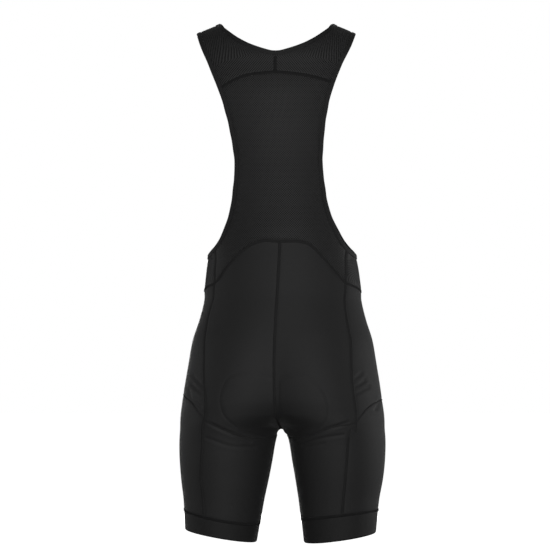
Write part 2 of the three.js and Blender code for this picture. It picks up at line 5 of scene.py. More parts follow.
import bpy
import numpy as np
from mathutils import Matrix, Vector


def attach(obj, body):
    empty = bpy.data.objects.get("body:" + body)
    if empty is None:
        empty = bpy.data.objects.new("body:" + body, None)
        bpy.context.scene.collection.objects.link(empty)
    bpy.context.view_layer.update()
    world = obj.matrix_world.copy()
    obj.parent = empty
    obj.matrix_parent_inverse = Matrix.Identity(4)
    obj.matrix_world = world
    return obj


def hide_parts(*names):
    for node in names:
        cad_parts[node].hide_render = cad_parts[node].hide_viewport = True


bl_info = {
    "name": "Cycling bib shorts",
    "version": (1, 0, 0),
    "blender": (4, 5, 0),
    "location": "3D View > Sidebar > Bib Shorts",
    "description": "Dresses the bib shorts panel by panel, with their seams, bindings and seat pad",
    "category": "Object",
}

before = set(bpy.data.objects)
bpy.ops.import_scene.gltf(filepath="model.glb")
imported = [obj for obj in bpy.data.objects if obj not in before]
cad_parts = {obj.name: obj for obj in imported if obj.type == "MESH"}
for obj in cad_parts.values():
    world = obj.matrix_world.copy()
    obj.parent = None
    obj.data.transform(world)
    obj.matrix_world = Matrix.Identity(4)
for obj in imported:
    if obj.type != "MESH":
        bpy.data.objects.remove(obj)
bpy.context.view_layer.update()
MM = 0.001
PI = math.pi
# The picture's width in pixels, how many millimetres a pixel shows, and the shoulders' row.
PICTURE = 550
PIXEL_MM = 1.76
SHOULDER_ROW = 24
# Edges sharper than these angles, in degrees, stay sharp.
SMOOTH_ANGLE = 50
THREAD_ANGLE = 60


# The wearer's shape, in millimetres, as the solids have it


def table(names, rows):
    """A smooth curve through each named column, read at values of the first column."""
    rows = np.array(rows, float)
    keys = rows[:, 0]
    last = len(rows) - 1
    slopes = np.array(
        [
            (rows[min(i + 1, last)] - rows[max(i - 1, 0)])
            / (keys[min(i + 1, last)] - keys[max(i - 1, 0)])
            for i in range(last + 1)
        ]
    )

    def read(value):
        at = np.clip(np.asarray(value, float), keys[0], keys[last])
        i = np.clip(np.searchsorted(keys, at, side="right") - 1, 0, last - 1)
        step = keys[i + 1] - keys[i]
        f = (at - keys[i]) / step
        g, h = f * f * (3 - 2 * f), 1 - f
        out = {}
        for c, name in enumerate(names.split()):
            out[name] = (
                rows[i, c] * (1 - g)
                + rows[i + 1, c] * g
                + step * f * h * (h * slopes[i, c] - f * slopes[i + 1, c])
            )
        return out

    return read


BODY = table(
    "down half centre depth back front groove",
    [
        (0, 200, 0, 0, 90, 78, 0),
        (60, 186, 0, 0, 92, 82, 0),
        (120, 170, 0, -2, 106, 98, 0),
        (200, 156, 0, -4, 113, 108, 0),
        (300, 143, 0, -10, 108, 108, 0),
        (360, 134.5, 0, -14, 104, 104, 0),
        (408, 131, 0, -15, 103, 103, 0),
        (436, 134.6, 0, -14, 103, 103, 0),
        (468, 138.2, 1, -11, 104, 104, 0),
        (486, 138.4, 6, -9, 106, 105, 0),
        (521, 147, 20, -5, 112, 108, 0),
        (556, 158.4, 36, -2, 119, 109, 0.05),
        (591, 164.6, 48, 0, 125, 109, 0.15),
        (627, 170.7, 57, 1, 128, 108, 0.35),
        (662, 176, 66, 1, 127, 106, 0.6),
        (686, 179.4, 77, 0, 122, 102, 0.82),
        (700, 180.4, 89, 0, 117, 99, 0.94),
        (711, 180.6, 95.8, 0, 112.5, 97, 1),
        (732, 182, 99.3, 0, 106, 95, 1),
        (767, 181.3, 101.4, 0, 99.5, 92, 1),
        (803, 177.8, 102.6, -1, 92, 86, 1),
        (838, 172.6, 103, -2, 84, 79, 1),
        (873, 169.8, 104, -3, 77, 73, 1),
        (912, 166.8, 105.2, -3, 70, 68, 1),
    ],
)
STANCE = table(
    "down shift turn",
    [
        (0, 0, 0),
        (90, 2.5, 0),
        (240, -3.5, 0),
        (330, -6, -0.5),
        (380, -8.5, -1.8),
        (450, -9.8, -4.5),
        (520, -10.5, -6.5),
        (700, -10.5, -7),
        (790, -10, -6),
        (840, -8.5, -5),
        (912, -6.5, -4),
    ],
)
CROTCH_DOWN = 711.0
CROTCH_ROUND = 11.0
SHOULDER_INNER = 100.0
SHOULDER_FALL = 0.43
SHOULDER_HIGH = 60.0
CHEST_DOWN = 250.0
HORN_DOWN = 330.0
INSEAM_DOWN = 723.0
YOKE_SEAM = 85.0
SIDE_TOP = (116.0, 399.0)
CREST_INNER = 106.5
CENTRE_BACK_DOWN = 382.5
CENTRE_FRONT_DOWN = 492.0
SEAMS = {
    1: dict(
        arch=[(110, 457), (101, 447), (87, 426), (65, 403), (42, 387), (20, 380.5)],
        side=[(110, 457), (111, 478), (117, 503), (122, 524), (127, 565), (128, 623), (128, 696)],
        under=[(128, 696), (103, 709), (71, 721), (45, 727), (24, 728)],
        leg=[(128, 696), (131.5, 737), (134.5, 799), (128.5, 864)],
        hip_outer=652,
        band=(866, 12.5, 7),
        hem=(900, 11, 5),
        yoke=[(45, 90), (71, 99), (97.5, 111)],
    ),
    -1: dict(
        arch=[(-122, 456), (-114.5, 448), (-95, 426), (-76.5, 405), (-57, 387.5), (-36, 382)],
        side=[(-122, 456), (-121.5, 474), (-122.5, 510), (-131, 556), (-133, 623), (-139, 674), (-140, 702)],
        under=[(-140, 702), (-96, 709), (-66, 720), (-46, 726), (-33, 728)],
        leg=[(-140, 702), (-127, 724), (-123, 767), (-120.5, 802), (-115, 858)],
        hip_outer=662,
        band=(863, 8, 2),
        hem=(903, 8, 7),
        yoke=[(-33, 88), (-66, 93.5), (-98, 101)],
    ),
}
ARMHOLE = [
    (14.7, 134), (33, 128), (49, 121), (63, 114.3), (81, 107), (99, 99.8), (116, 93.7),
    (134, 88), (151, 84.3), (169, 80), (187, 77.4), (204, 74.7), (222, 73), (240, 71.2),
    (275, 73), (292, 75.5), (310, 77.6), (330, 82), (345, 86.3), (363, 94), (380, 102),
    (390, 108.5), (399, 116), (406, 123.5), (410.5, 128.3),
]
armhole_half = table("down half", ARMHOLE)
NECK = [
    (0, 54.2), (8, 53.7), (18, 51.2), (36, 45.4), (50, 39.8), (62, 33.8), (72.5, 27.6),
    (81, 21.6), (89, 15.4), (98, 8.4),
]
FRONT_INNER = [
    (98, 9.6), (90, 18), (84.5, 31), (79.5, 50), (66, 81), (53, 116), (43.8, 151),
    (35, 204), (32, 240), (33.5, 275), (37, 310), (41, 330),
]
SCOOP = [(41, 330), (41, 352), (38.5, 378), (33, 403), (24, 421), (12, 431.5), (5, 434), (0, 434.4)]
PAD_EDGE = {
    1: [(7, 623), (33, 615), (59, 612.5), (83.5, 621), (96, 642), (99, 665), (91, 690), (70, 709)],
    -1: [(-6, 623), (-29, 616), (-52, 619), (-71, 632), (-85, 651), (-91, 674), (-89, 693), (-80, 707)],
}
# Folds pressed into the cloth, as seen from behind: points, depth and half width.
FOLDS = [
    ([(122, 728), (100, 736), (78, 742.5), (39, 743.5)], 1.0, 2.8),
    ([(118, 702), (100, 711), (71, 724), (46, 735)], 1.4, 2.6),
    ([(-126, 699), (-90, 713), (-66, 722), (-34, 731)], 1.3, 2.6),
    ([(-117, 722), (-90, 726), (-66, 731.5), (-42, 740)], 1.1, 2.6),
    ([(-84, 737), (-54, 744)], 0.8, 2.4),
    ([(146, 619), (139, 627), (131, 635)], 1.6, 3),
    ([(149, 633), (141, 641), (131, 650)], 1.7, 3),
    ([(154, 646), (149, 662), (133, 673)], 1.6, 3.2),
    ([(-149, 614), (-139, 622)], 1.2, 2.8),
    ([(-155, 627), (-147, 633), (-139, 637)], 1.6, 3),
    ([(-162, 638), (-151, 644), (-139, 650)], 1.6, 3),
    ([(-184, 661), (-175, 677)], 2.2, 3.4),
]
# The crease under the seat: its run from the right to the left, and how deep it is there.
CREASE = table(
    "x down deep",
    [
        (-62, 708, 0), (-46, 712, 0.5), (-33, 718.5, 1), (-20, 724, 1), (-8, 727, 0.9), (6, 727.5, 1),
        (16, 726.5, 1.05), (27, 723.5, 1), (40, 721, 0.8), (53, 718.5, 0.5), (72, 715, 0),
    ],
)
CREASE_DEEP = 4.8
# How far a panel sinks towards its seams.
TUCK = 0.55
# How far the seat pad's outer face lies inside the seat.
PAD_SINK = 3.6
# Cloth that closes the gap's upper corner on the right: middle, half sizes and rise.
CORNER = (-16.0, 716.0, 7.0, 7.0, 4.0)


def section(down):
    """The body's half width, depths and groove at a distance down."""
    s = BODY(down)
    s["across"] = np.hypot(s["half"], CROTCH_ROUND) - s["centre"]
    return s


def crest_fall(x, down):
    """How far the shoulders have fallen at x."""
    past = np.abs(x) - SHOULDER_INNER
    return np.where(np.asarray(down) > CHEST_DOWN, 0, SHOULDER_FALL * (past + np.hypot(past, 4)) / 2)


def crown(h):
    return 1 - (1 - np.clip(h / SHOULDER_HIGH, 0, 1)) ** 2


def in_share(q, s, back):
    closed = np.where(back, 0.85 + 0.15 * s["groove"], s["groove"])
    return np.where(q < 0, q * closed, q)


def end_angle(down):
    s = section(down)
    c = np.clip((CROTCH_ROUND - s["centre"]) / s["across"], -1, 1)
    return np.where(s["centre"] - s["across"] < CROTCH_ROUND, np.arccos(c), PI)


def body_at(side, angle, down):
    """Points on the body of one side, from the angle round it and the distance down."""
    s = section(down)
    back = np.asarray(angle) > 0
    q = in_share(np.cos(angle), s, back)
    wide = s["centre"] + s["across"] * np.cos(angle)
    reach = np.where(back, s["back"], -s["front"]) * np.sqrt(np.maximum(1 - q * q, 0))
    x = side * np.sqrt(np.maximum(wide * wide - CROTCH_ROUND**2, 0))
    return np.stack([x, s["depth"] + reach, -np.asarray(down, float)], -1)


def path_of(h):
    h = np.asarray(h, float)
    low = SHOULDER_HIGH * np.arccos(1 - np.clip(h, 0, SHOULDER_HIGH) / SHOULDER_HIGH)
    return np.where(h < SHOULDER_HIGH, low, h + SHOULDER_HIGH * (PI / 2 - 1))


def height_of(path):
    path = np.abs(path)
    low = SHOULDER_HIGH * (1 - np.cos(path / SHOULDER_HIGH))
    return np.where(path < SHOULDER_HIGH * PI / 2, low, path - SHOULDER_HIGH * (PI / 2 - 1))


def strap_at(x, path):
    """Points on the yoke and straps, from x and the path over the shoulder."""
    h = height_of(path)
    s = section(h)
    q = np.hypot(x, CROTCH_ROUND) / s["across"]
    reach = np.where(np.asarray(path) < 0, s["back"], -s["front"])
    reach = reach * np.sqrt(np.maximum(crown(h) * (1 - q * q), 0))
    return np.stack([x + 0 * h, s["depth"] + reach, -h - crest_fall(x, h)], -1)


def back_at(x, down):
    return strap_at(x, -path_of(down - crest_fall(x, down)))


def outside(p):
    """Above zero outside the body, and below zero inside it."""
    x, y, z = p[..., 0], p[..., 1], p[..., 2]
    h = -z - crest_fall(x, -z)
    s = section(h)
    back = y > s["depth"]
    q = in_share((np.hypot(x, CROTCH_ROUND) - s["centre"]) / s["across"], s, back)
    depth = np.where(back, s["back"], s["front"])
    return crown(h) * (q * q - 1) + ((y - s["depth"]) / depth) ** 2


def unit(v):
    return v / np.maximum(np.linalg.norm(v, axis=-1, keepdims=True), 1e-12)


def way_out(p):
    e = 0.5 * np.eye(3)
    return unit(np.stack([outside(p + e[i]) - outside(p - e[i]) for i in range(3)], -1))


def stand(p):
    """Points and ways out, turned and shifted into the figure's stance, in millimetres."""
    n = way_out(p)
    s = STANCE(-p[..., 2])
    c, k = np.cos(np.radians(s["turn"])), np.sin(np.radians(s["turn"]))

    def turn(v):
        return np.stack([v[..., 0] * c - v[..., 1] * k, v[..., 0] * k + v[..., 1] * c, v[..., 2]], -1)

    at = turn(p)
    at[..., 0] += s["shift"]
    return at, turn(n)


def angle_seen(side, x, down):
    """The angle round the body at which a place is seen x from the middle, from behind."""
    low, high = 0.001, float(end_angle(down))
    for _ in range(36):
        angle = (low + high) / 2
        x_there = stand(body_at(side, np.array([angle]), np.array([down])))[0][0, 0]
        low, high = (angle, high) if side * (x_there - x) > 0 else (low, angle)
    return (low + high) / 2


def seen(side, rows):
    return [(angle_seen(side, x, float(d)), d) for x, d in rows]


def run_of(points):
    """Length along a line of points, from its start to each point."""
    return np.concatenate([[0], np.cumsum(np.linalg.norm(np.diff(points, axis=0), axis=1))])


def at_steps(values, t, closed=False):
    """The values of a line at whole and part indices."""
    values = np.vstack([values, values[:1]]) if closed else values
    i = np.minimum(t.astype(int), len(values) - 2)
    return values[i] + (values[i + 1] - values[i]) * (t - i)[:, None]


def pick(path, n):
    """The same path with n + 1 points, evenly taken."""
    path = np.asarray(path, float)
    return at_steps(path, np.linspace(0, len(path) - 1, n + 1))


def curve(rows, steps=8):
    """A smooth path through the given pairs, with some steps between each two."""
    at = table("t a b", [(i, a, b) for i, (a, b) in enumerate(rows)])
    t = np.linspace(0, len(rows) - 1, (len(rows) - 1) * steps + 1)
    r = at(t)
    return np.stack([r["a"], r["b"]], -1)


def walk(points, place, n):
    """n + 1 points at even steps along a path of surface coordinates."""
    dense = pick(points, (len(points) - 1) * 24)
    run = run_of(place(dense[:, 0], dense[:, 1]))
    goal = np.linspace(0, run[-1], n + 1)
    return np.stack([np.interp(goal, run, dense[:, c]) for c in (0, 1)], -1)


def fill(top, bottom, first, last):
    """Surface coordinates of a four-sided patch between its edges, rows from top to bottom."""
    u = np.linspace(0, 1, len(top))[None, :, None]
    v = np.linspace(0, 1, len(first))[:, None, None]
    across = top[None] * (1 - v) + bottom[None] * v
    down = first[:, None] * (1 - u) + last[:, None] * u
    corners = (top[0] * (1 - u) + top[-1] * u) * (1 - v) + (bottom[0] * (1 - u) + bottom[-1] * u) * v
    return across + down - corners


def on_body(side):
    return lambda angle, down: body_at(side, angle, down)


def angle_of(x, down):
    return float(np.arccos(min(math.hypot(x, CROTCH_ROUND) / float(section(down)["across"]), 1)))


class Side:
    """The seams of one side, in angle and distance down, as fine paths."""

    FINE = 96

    def __init__(self, side):
        rows = SEAMS[side]
        n = self.FINE
        self.side, self.place = side, on_body(side)
        place = self.place
        side_top = (angle_of(*SIDE_TOP), SIDE_TOP[1])
        arch_end = (float(end_angle(CENTRE_BACK_DOWN)), CENTRE_BACK_DOWN)
        self.arch = walk(np.vstack([curve(seen(side, rows["arch"])), arch_end]), place, n)
        self.side_low = walk(curve(seen(side, rows["side"])), place, n)
        self.side_low[0] = self.arch[0]
        corner = self.arch[0]
        self.side_up = walk([side_top, corner], place, n)
        inseam_top = (PI, INSEAM_DOWN)
        under = seen(side, rows["under"]) + [(PI - 0.25, INSEAM_DOWN + 3), inseam_top]
        self.under = walk(curve(under), place, n)
        self.under[0] = self.side_low[-1]
        meet = self.under[0]
        self.band_at = self._round(rows["band"])
        self.hem_at = self._round(rows["hem"])
        leg = seen(side, rows["leg"])
        end = leg[-1][0]
        self.leg = walk(np.vstack([curve(leg[:-1]), (end, self.band_at(end))]), place, n)
        self.leg[0] = meet
        self.band_back = walk(self._sweep(self.leg[-1][0], PI), place, n)
        self.band_front = walk(self._sweep(self.leg[-1][0], -PI), place, n)
        self.inseam = walk([inseam_top, (PI, self.band_at(PI))], place, n)
        outer = rows["hip_outer"]
        hip = [
            tuple(meet),
            (meet[0] * 0.55, meet[1] + (outer - meet[1]) * 0.75),
            (0, outer),
            (-0.9, 664),
            (-1.9, 697),
            (-2.6, 718),
            (-PI, INSEAM_DOWN),
        ]
        self.hip = walk(curve(hip), place, n)
        horn_outer = -angle_of(float(armhole_half(HORN_DOWN)["half"]), HORN_DOWN)
        low = [(angle_of(x, d), d) for d, x in ARMHOLE if d > SIDE_TOP[1]]
        high = [(-angle_of(x, d), d) for d, x in ARMHOLE[::-1] if d > HORN_DOWN]
        arm = [side_top, *low, (0, 413.5), *high, (horn_outer, HORN_DOWN)]
        self.arm_low = walk(curve(arm), place, 108)
        self.horn = walk([(horn_outer, HORN_DOWN), (-angle_of(41, HORN_DOWN), HORN_DOWN)], place, 24)
        self.scoop = walk(curve([(-angle_of(x, d), d) for x, d in SCOOP]), place, 60)
        self.bib_top = np.vstack([self.arm_low, self.horn[1:], self.scoop[1:]])
        self.bib_low = self._bib_seam(corner)
        end = self.bib_low[-1]
        d = np.linspace(self.bib_top[-1][1], end[1], 41)
        self.bib_middle = np.stack([-end_angle(d), d], -1)
        self.centre_back = self._middle(1, CENTRE_BACK_DOWN, n)
        self.centre_front = self._middle(-1, end[1], n)

    @staticmethod
    def _round(values):
        mean, rise, back = values
        return lambda a: mean - rise * np.cos(a) + back * np.sin(a)

    def _sweep(self, start, end):
        a = np.linspace(start, end, 90)
        return np.stack([a, self.band_at(a)], -1)

    def _bib_seam(self, corner):
        low = table("turn down", [(-1.6, 492), (-1, 482), (0, 470), tuple(corner)])
        end = -float(end_angle(CENTRE_FRONT_DOWN))
        n = len(self.bib_top) - 1
        coarse = [(i / 19, 0.5 if i < 9 else 0.25) for i in range(20)]
        share = np.interp(np.linspace(0, 1, n + 1), [c[0] for c in coarse], [c[1] for c in coarse])
        even = corner[0] + (end - corner[0]) * np.linspace(0, 1, n + 1)
        turn = self.bib_top[:, 0] * (1 - share) + even * share
        turn[0], turn[-1] = corner[0], end
        turn = np.minimum.accumulate(turn)
        path = np.stack([turn, low(turn)["down"]], -1)
        path[0] = corner
        return path

    def _middle(self, sign, start, n):
        d = start + (CROTCH_DOWN - start) * np.sin(PI / 2 * np.linspace(0, 1, 161))
        a = sign * end_angle(d)
        a[-1] = sign * PI
        path = walk(np.stack([a, d], -1), self.place, n - 4)
        tail = np.stack([np.full(4, sign * PI), np.linspace(CROTCH_DOWN, INSEAM_DOWN, 5)[1:]], -1)
        return np.vstack([path, tail])


SIDES = {s: Side(s) for s in (1, -1)}
NAMES = {1: "left", -1: "right"}


class Strap:
    """The edges of one yoke half with its strap, in x and path over the shoulder."""

    def __init__(self, side):
        self.side = side
        yoke = SEAMS[side]["yoke"]
        low = yoke[2][1] + 1.5
        end = (side * float(armhole_half(low)["half"]), low)
        start = curve([(0, YOKE_SEAM), *yoke[:2], end])
        self.end = end
        self.start = walk(self.path(start), strap_at, 48)
        centre = walk(self.path([(0, YOKE_SEAM), (0, NECK[0][1])]), strap_at, 20)
        crest = [(side * CREST_INNER, 0)]
        neck = walk(np.vstack([self.path(curve(NECK) * (side, 1)), crest]), strap_at, 60)
        chest = np.vstack([crest, self.path(curve(FRONT_INNER) * (side, 1), 1)])
        chest = walk(chest, strap_at, 170)
        top = [(side * ARMHOLE[0][1], 0)]
        back = self._arm(low)
        arm_back = walk(np.vstack([top, back])[::-1], strap_at, 80)
        arm_front = walk(np.vstack([top, self._arm(HORN_DOWN, 1)]), strap_at, 170)
        self.centre = centre
        self.inner = np.vstack([centre, neck[1:], chest[1:]])
        self.outer = np.vstack([arm_back, arm_front[1:]])
        self.finish = walk([chest[-1], arm_front[-1]], strap_at, 48)

    @staticmethod
    def path(rows, face=-1):
        rows = np.asarray(rows, float)
        fall = crest_fall(rows[:, 0], rows[:, 1])
        return np.stack([rows[:, 0], face * path_of(rows[:, 1] - fall)], -1)

    def _arm(self, low, face=-1):
        d = np.linspace(ARMHOLE[0][0] + 1, low, 60)
        return self.path(np.stack([self.side * armhole_half(d)["half"], d], -1), face)


STRAPS = {s: Strap(s) for s in (1, -1)}


# Relief pressed into the cloth


def away_from(points, line):
    """Distance from each (x, down) point to a line of points."""
    best = np.full(points.shape[:-1], 1e9)
    for a, b in zip(line[:-1], line[1:]):
        a, b = np.array(a, float), np.array(b, float)
        d = b - a
        t = np.clip(((points - a) @ d) / (d @ d), 0, 1)
        best = np.minimum(best, np.linalg.norm(points - a - t[..., None] * d, axis=-1))
    return best


def within(points, ring):
    """Whether each (x, down) point lies inside a ring of points."""
    x, y = points[..., 0], points[..., 1]
    inside = np.zeros(x.shape, bool)
    for (x1, y1), (x2, y2) in zip(ring, ring[1:] + ring[:1]):
        if y1 != y2:
            crosses = (y1 > y) != (y2 > y)
            inside ^= crosses & (x < (x2 - x1) * (y - y1) / (y2 - y1) + x1)
    return inside


def soft(v, low, high):
    t = np.clip((v - low) / (high - low), 0, 1)
    return t * t * (3 - 2 * t)


def smooth_line(rows):
    return [tuple(p) for p in curve(rows, 6)]


def back_relief(at, out):
    """The folds and the seat pad's outline, in millimetres outwards, on what faces back."""
    flat = np.stack([at[..., 0], -at[..., 2]], -1)
    rise = np.zeros(at.shape[:-1])
    for line, depth, wide in FOLDS:
        line = smooth_line(line) if len(line) > 2 else line
        gap = away_from(flat, line)
        rise -= depth * np.exp(-((gap / wide) ** 2))
        rise += 0.25 * depth * np.exp(-(((gap - 2.1 * wide) / (1.1 * wide)) ** 2))
    for side, edge in PAD_EDGE.items():
        line = smooth_line(edge)
        ring = line + [(side * 20, 728), (side * 1.0 - 5, 716)]
        gap = away_from(flat, line)
        inside = within(flat, ring)
        signed = np.where(inside, gap, -gap)
        fade = 1 - soft(flat[..., 1], 698, 722)
        rise += 0.75 * soft(signed, -2, 7) * np.where(inside | (gap < 3), fade, 0)
        rise -= 0.7 * np.exp(-((gap / 1.8) ** 2)) * fade
    return rise * soft(out[..., 1], 0.05, 0.35) + gap_corner(at)


def creased(at, out):
    """The points drawn in at the crease: steeply above it, where the seat hangs over, slowly below."""
    line = CREASE(at[..., 0])
    below = -at[..., 2] - line["down"]
    reach = np.where(below < 0, np.clip(1 + below / 20, 0, 1) ** 1.5, np.exp(-below / 20))
    edge = 0.35 * np.exp(-((below / np.where(below < 0, 1.8, 7)) ** 2))
    drawn = CREASE_DEEP * line["deep"] * (reach + edge) * soft(out[..., 1], 0.0, 0.3)
    return at - drawn[..., None] * (0, 1, 0)


def gap_corner(at):
    """The rise of the cloth that closes the gap's upper corner."""
    x, down, wide, high, rise = CORNER
    return rise * np.exp(-(((at[..., 0] - x) / wide) ** 2) - ((-at[..., 2] - down) / high) ** 2)


def cloth_play(at):
    """A slight unevenness of worn stretch cloth, in millimetres."""
    x, y, d = at[..., 0], at[..., 1], -at[..., 2]
    low = np.sin(d / 37 + x / 61 + 0.7) * np.sin(x / 43 - d / 71 + y / 52 + 1.9)
    fine = np.sin(d / 11.5 + x / 27 + 2.1) * np.sin(x / 17 + y / 23 - d / 31)
    return 0.32 * low + 0.1 * fine


def grid_runs(grid):
    """Length along each row and each column of a grid of points."""
    rows, columns = grid.shape[:2]
    step_u = np.linalg.norm(np.diff(grid, axis=1), axis=-1)
    step_v = np.linalg.norm(np.diff(grid, axis=0), axis=-1)
    run_u = np.concatenate([np.zeros((rows, 1)), np.cumsum(step_u, axis=1)], 1)
    run_v = np.concatenate([np.zeros((1, columns)), np.cumsum(step_v, axis=0)], 0)
    return run_u, run_v


def edge_gap(grid):
    """Distance of each grid point from the patch's nearest edge, in millimetres."""
    run_u, run_v = grid_runs(grid)
    gap_u = np.minimum(run_u, run_u[:, -1:] - run_u)
    gap_v = np.minimum(run_v, run_v[-1:] - run_v)
    return np.minimum(gap_u, gap_v)


def sewn_rise(at):
    """The rise of a panel: a slight play in its middle, and sunk a little towards its seams."""
    gap = edge_gap(at)
    return cloth_play(at) * soft(gap, 0, 6) - TUCK * (1 - soft(gap, 0.5, 6.5))


# Meshes


def new_object(name, verts, faces, uv, smooth):
    mesh = bpy.data.meshes.new(name)
    mesh.from_pydata(np.asarray(verts).tolist(), [], faces)
    mesh.validate()
    if uv is not None:
        layer = mesh.uv_layers.new(name="cloth")
        loops = np.empty(len(mesh.loops), np.int32)
        mesh.loops.foreach_get("vertex_index", loops)
        layer.uv.foreach_set("vector", np.asarray(uv, np.float32)[loops].ravel())
    mesh.shade_smooth()
    mesh.set_sharp_from_angle(angle=math.radians(smooth))
    obj = bpy.data.objects.new(name, mesh)
    bpy.context.scene.collection.objects.link(obj)
    return obj


def grid_faces(rows, columns, ring):
    """Quads of a closed wall between an outer and an inner grid of points."""
    count = rows * columns
    index = np.arange(count).reshape(rows, columns)
    nxt = np.roll(index, -1, axis=1) if ring else index[:, 1:]
    cur = index if ring else index[:, :-1]
    quads = [np.stack([cur[:-1], nxt[:-1], nxt[1:], cur[1:]], -1).reshape(-1, 4)]
    quads.append(quads[0][:, ::-1] + count)
    top = np.stack([nxt[0], cur[0], cur[0] + count, nxt[0] + count], -1)
    low = np.stack([cur[-1], nxt[-1], nxt[-1] + count, cur[-1] + count], -1)
    quads += [top, low]
    if not ring:
        a, b = index[:-1, 0], index[1:, 0]
        quads.append(np.stack([a, b, b + count, a + count], -1))
        a, b = index[:-1, -1], index[1:, -1]
        quads.append(np.stack([b, a, a + count, b + count], -1))
    return np.concatenate(quads)


def wall(name, at, out, rise, thick, ring=False, grain=None):
    """A closed cloth wall on a grid of points. rise moves its outer face out.

    The cloth's map runs along its rows from the middle, and down by grain where given.
    """
    rows, columns = at.shape[:2]
    outer = at + out * rise[..., None]
    inner = outer - out * np.broadcast_to(thick, rise.shape)[..., None]
    faces = grid_faces(rows, columns, ring)
    a, b, c = outer[0, 0], outer[0, 1], outer[1, 0]
    if np.dot(np.cross(b - a, c - a), out[0, 0]) < 0:
        faces = faces[:, ::-1]
    run_u, run_v = grid_runs(at)
    middle = columns // 2
    uv = np.stack([run_u - run_u[:, middle : middle + 1], run_v if grain is None else grain], -1)
    uv = uv.reshape(-1, 2) * MM
    verts = np.concatenate([outer.reshape(-1, 3), inner.reshape(-1, 3)]) * MM
    return new_object(name, verts, faces.tolist(), np.concatenate([uv, uv]), SMOOTH_ANGLE)


def sweep(name, at, out, across, profile, closed=False):
    """A closed strip whose cross-section, in across and out, runs along a path."""
    n, m = len(at), len(profile)
    profile = np.asarray(profile, float)
    verts = (
        at[:, None]
        + across[:, None] * profile[None, :, 0:1]
        + out[:, None] * profile[None, :, 1:2]
    ).reshape(-1, 3)
    spans = n if closed else n - 1
    i, j = np.meshgrid(np.arange(spans), np.arange(m), indexing="ij")
    i2, j2 = (i + 1) % n, (j + 1) % m
    faces = np.stack([i * m + j, i * m + j2, i2 * m + j2, i2 * m + j], -1).reshape(-1, 4)
    faces = faces.tolist()
    if not closed:
        faces += [list(range(m))[::-1], [(n - 1) * m + k for k in range(m)]]
    uv = np.stack(np.broadcast_arrays(run_of(profile)[None], run_of(at)[:, None]), -1)
    obj = new_object(name, verts * MM, faces, uv.reshape(-1, 2) * MM, SMOOTH_ANGLE)
    flip_if_inside_out(obj)
    return obj


def flip_if_inside_out(obj):
    """Turns the faces of a closed mesh outwards."""
    mesh = obj.data
    mesh.calc_loop_triangles()
    tri = np.empty(len(mesh.loop_triangles) * 3, np.int32)
    mesh.loop_triangles.foreach_get("vertices", tri)
    co = np.empty(len(mesh.vertices) * 3)
    mesh.vertices.foreach_get("co", co)
    a, b, c = co.reshape(-1, 3)[tri.reshape(-1, 3)].transpose(1, 0, 2)
    if np.einsum("ij,ij->i", a, np.cross(b, c)).sum() < 0:
        mesh.flip_normals()


def across_of(at, out, closed=False):
    """The ways across a line that lies on the cloth."""
    if closed:
        along = np.roll(at, -1, axis=0) - np.roll(at, 1, axis=0)
    else:
        along = np.gradient(at, axis=0)
    return unit(np.cross(unit(along), out))


def even_steps(at, step, closed=False):
    """Positions along a polyline at even steps, as whole and part indices."""
    pts = np.vstack([at, at[:1]]) if closed else at
    run = run_of(pts)
    count = max(int(run[-1] / step), 1)
    return np.interp(np.linspace(0, run[-1], count + 1), run, np.arange(len(pts)))


def threads(start, end, out, radius, arch):
    """Verts and faces of short stitches from start to end, each raised in its middle."""
    side = unit(np.cross(end - start, out))
    rings = []
    for point, size, up in ((start, 0.75, 0), ((start + end) / 2, 1, arch), (end, 0.75, 0)):
        middle = point + out * up
        for a, b in ((1, 0), (0, 1), (-1, 0), (0, -1)):
            rings.append(middle + (side * a + out * b) * radius * size)
    verts = np.stack(rings, 1).reshape(-1, 3)
    local = []
    for r in (0, 4):
        for k in range(4):
            local.append((r + k, r + (k + 1) % 4, r + 4 + (k + 1) % 4, r + 4 + k))
    local += [(3, 2, 1, 0), (8, 9, 10, 11)]
    faces = (np.arange(len(start))[:, None, None] * 12 + np.array(local)[None]).reshape(-1, 4)
    return verts, faces


def row_of_stitches(line, ways, share, radius, arch):
    """Stitches end to end along a line, each as long as its share of the step."""
    return threads(line[:-1], line[:-1] + (line[1:] - line[:-1]) * share, ways[:-1], radius, arch)


def seam_stitches(at, out, half, rise, step, radius):
    """A zigzag of thread over a flat seam, and a row of stitches on each side of its middle."""
    t = even_steps(at, step)
    base, ways = at_steps(at, t), unit(at_steps(out, t))
    cross = across_of(base, ways) * half
    low = base - cross * 0.86 + ways * (rise * 0.35)
    high = (base[:-1] + base[1:]) / 2 + (cross * 0.86 + ways * rise * 0.35)[:-1]
    parts = [
        threads(low[:-1], high, ways[:-1], radius, rise * 0.7),
        threads(high, low[1:], ways[:-1], radius, rise * 0.7),
    ]
    for offset in (-0.5, 0.5):
        parts.append(row_of_stitches(base + cross * offset + ways * rise, ways, 0.8, radius, 0.1))
    return parts


def join_threads(name, parts):
    """One mesh of all the given stitches."""
    verts, faces, base = [], [], 0
    for v, f in parts:
        verts.append(v)
        faces.append(f + base)
        base += len(v)
    verts, faces = np.concatenate(verts) * MM, np.concatenate(faces).tolist()
    obj = new_object(name, verts, faces, None, THREAD_ANGLE)
    flip_if_inside_out(obj)
    return obj


# Materials


def socket_in(group, name, value, kind="NodeSocketFloat"):
    socket = group.interface.new_socket(name, in_out="INPUT", socket_type=kind)
    if value is not None:
        socket.default_value = value
    return socket


def math_node(tree, operation, a, b=None):
    node = tree.nodes.new("ShaderNodeMath")
    node.operation = operation
    for socket, value in zip(node.inputs, (a, b)):
        if value is None:
            continue
        if isinstance(value, (int, float)):
            socket.default_value = value
        else:
            tree.links.new(value, socket)
    return node.outputs[0]


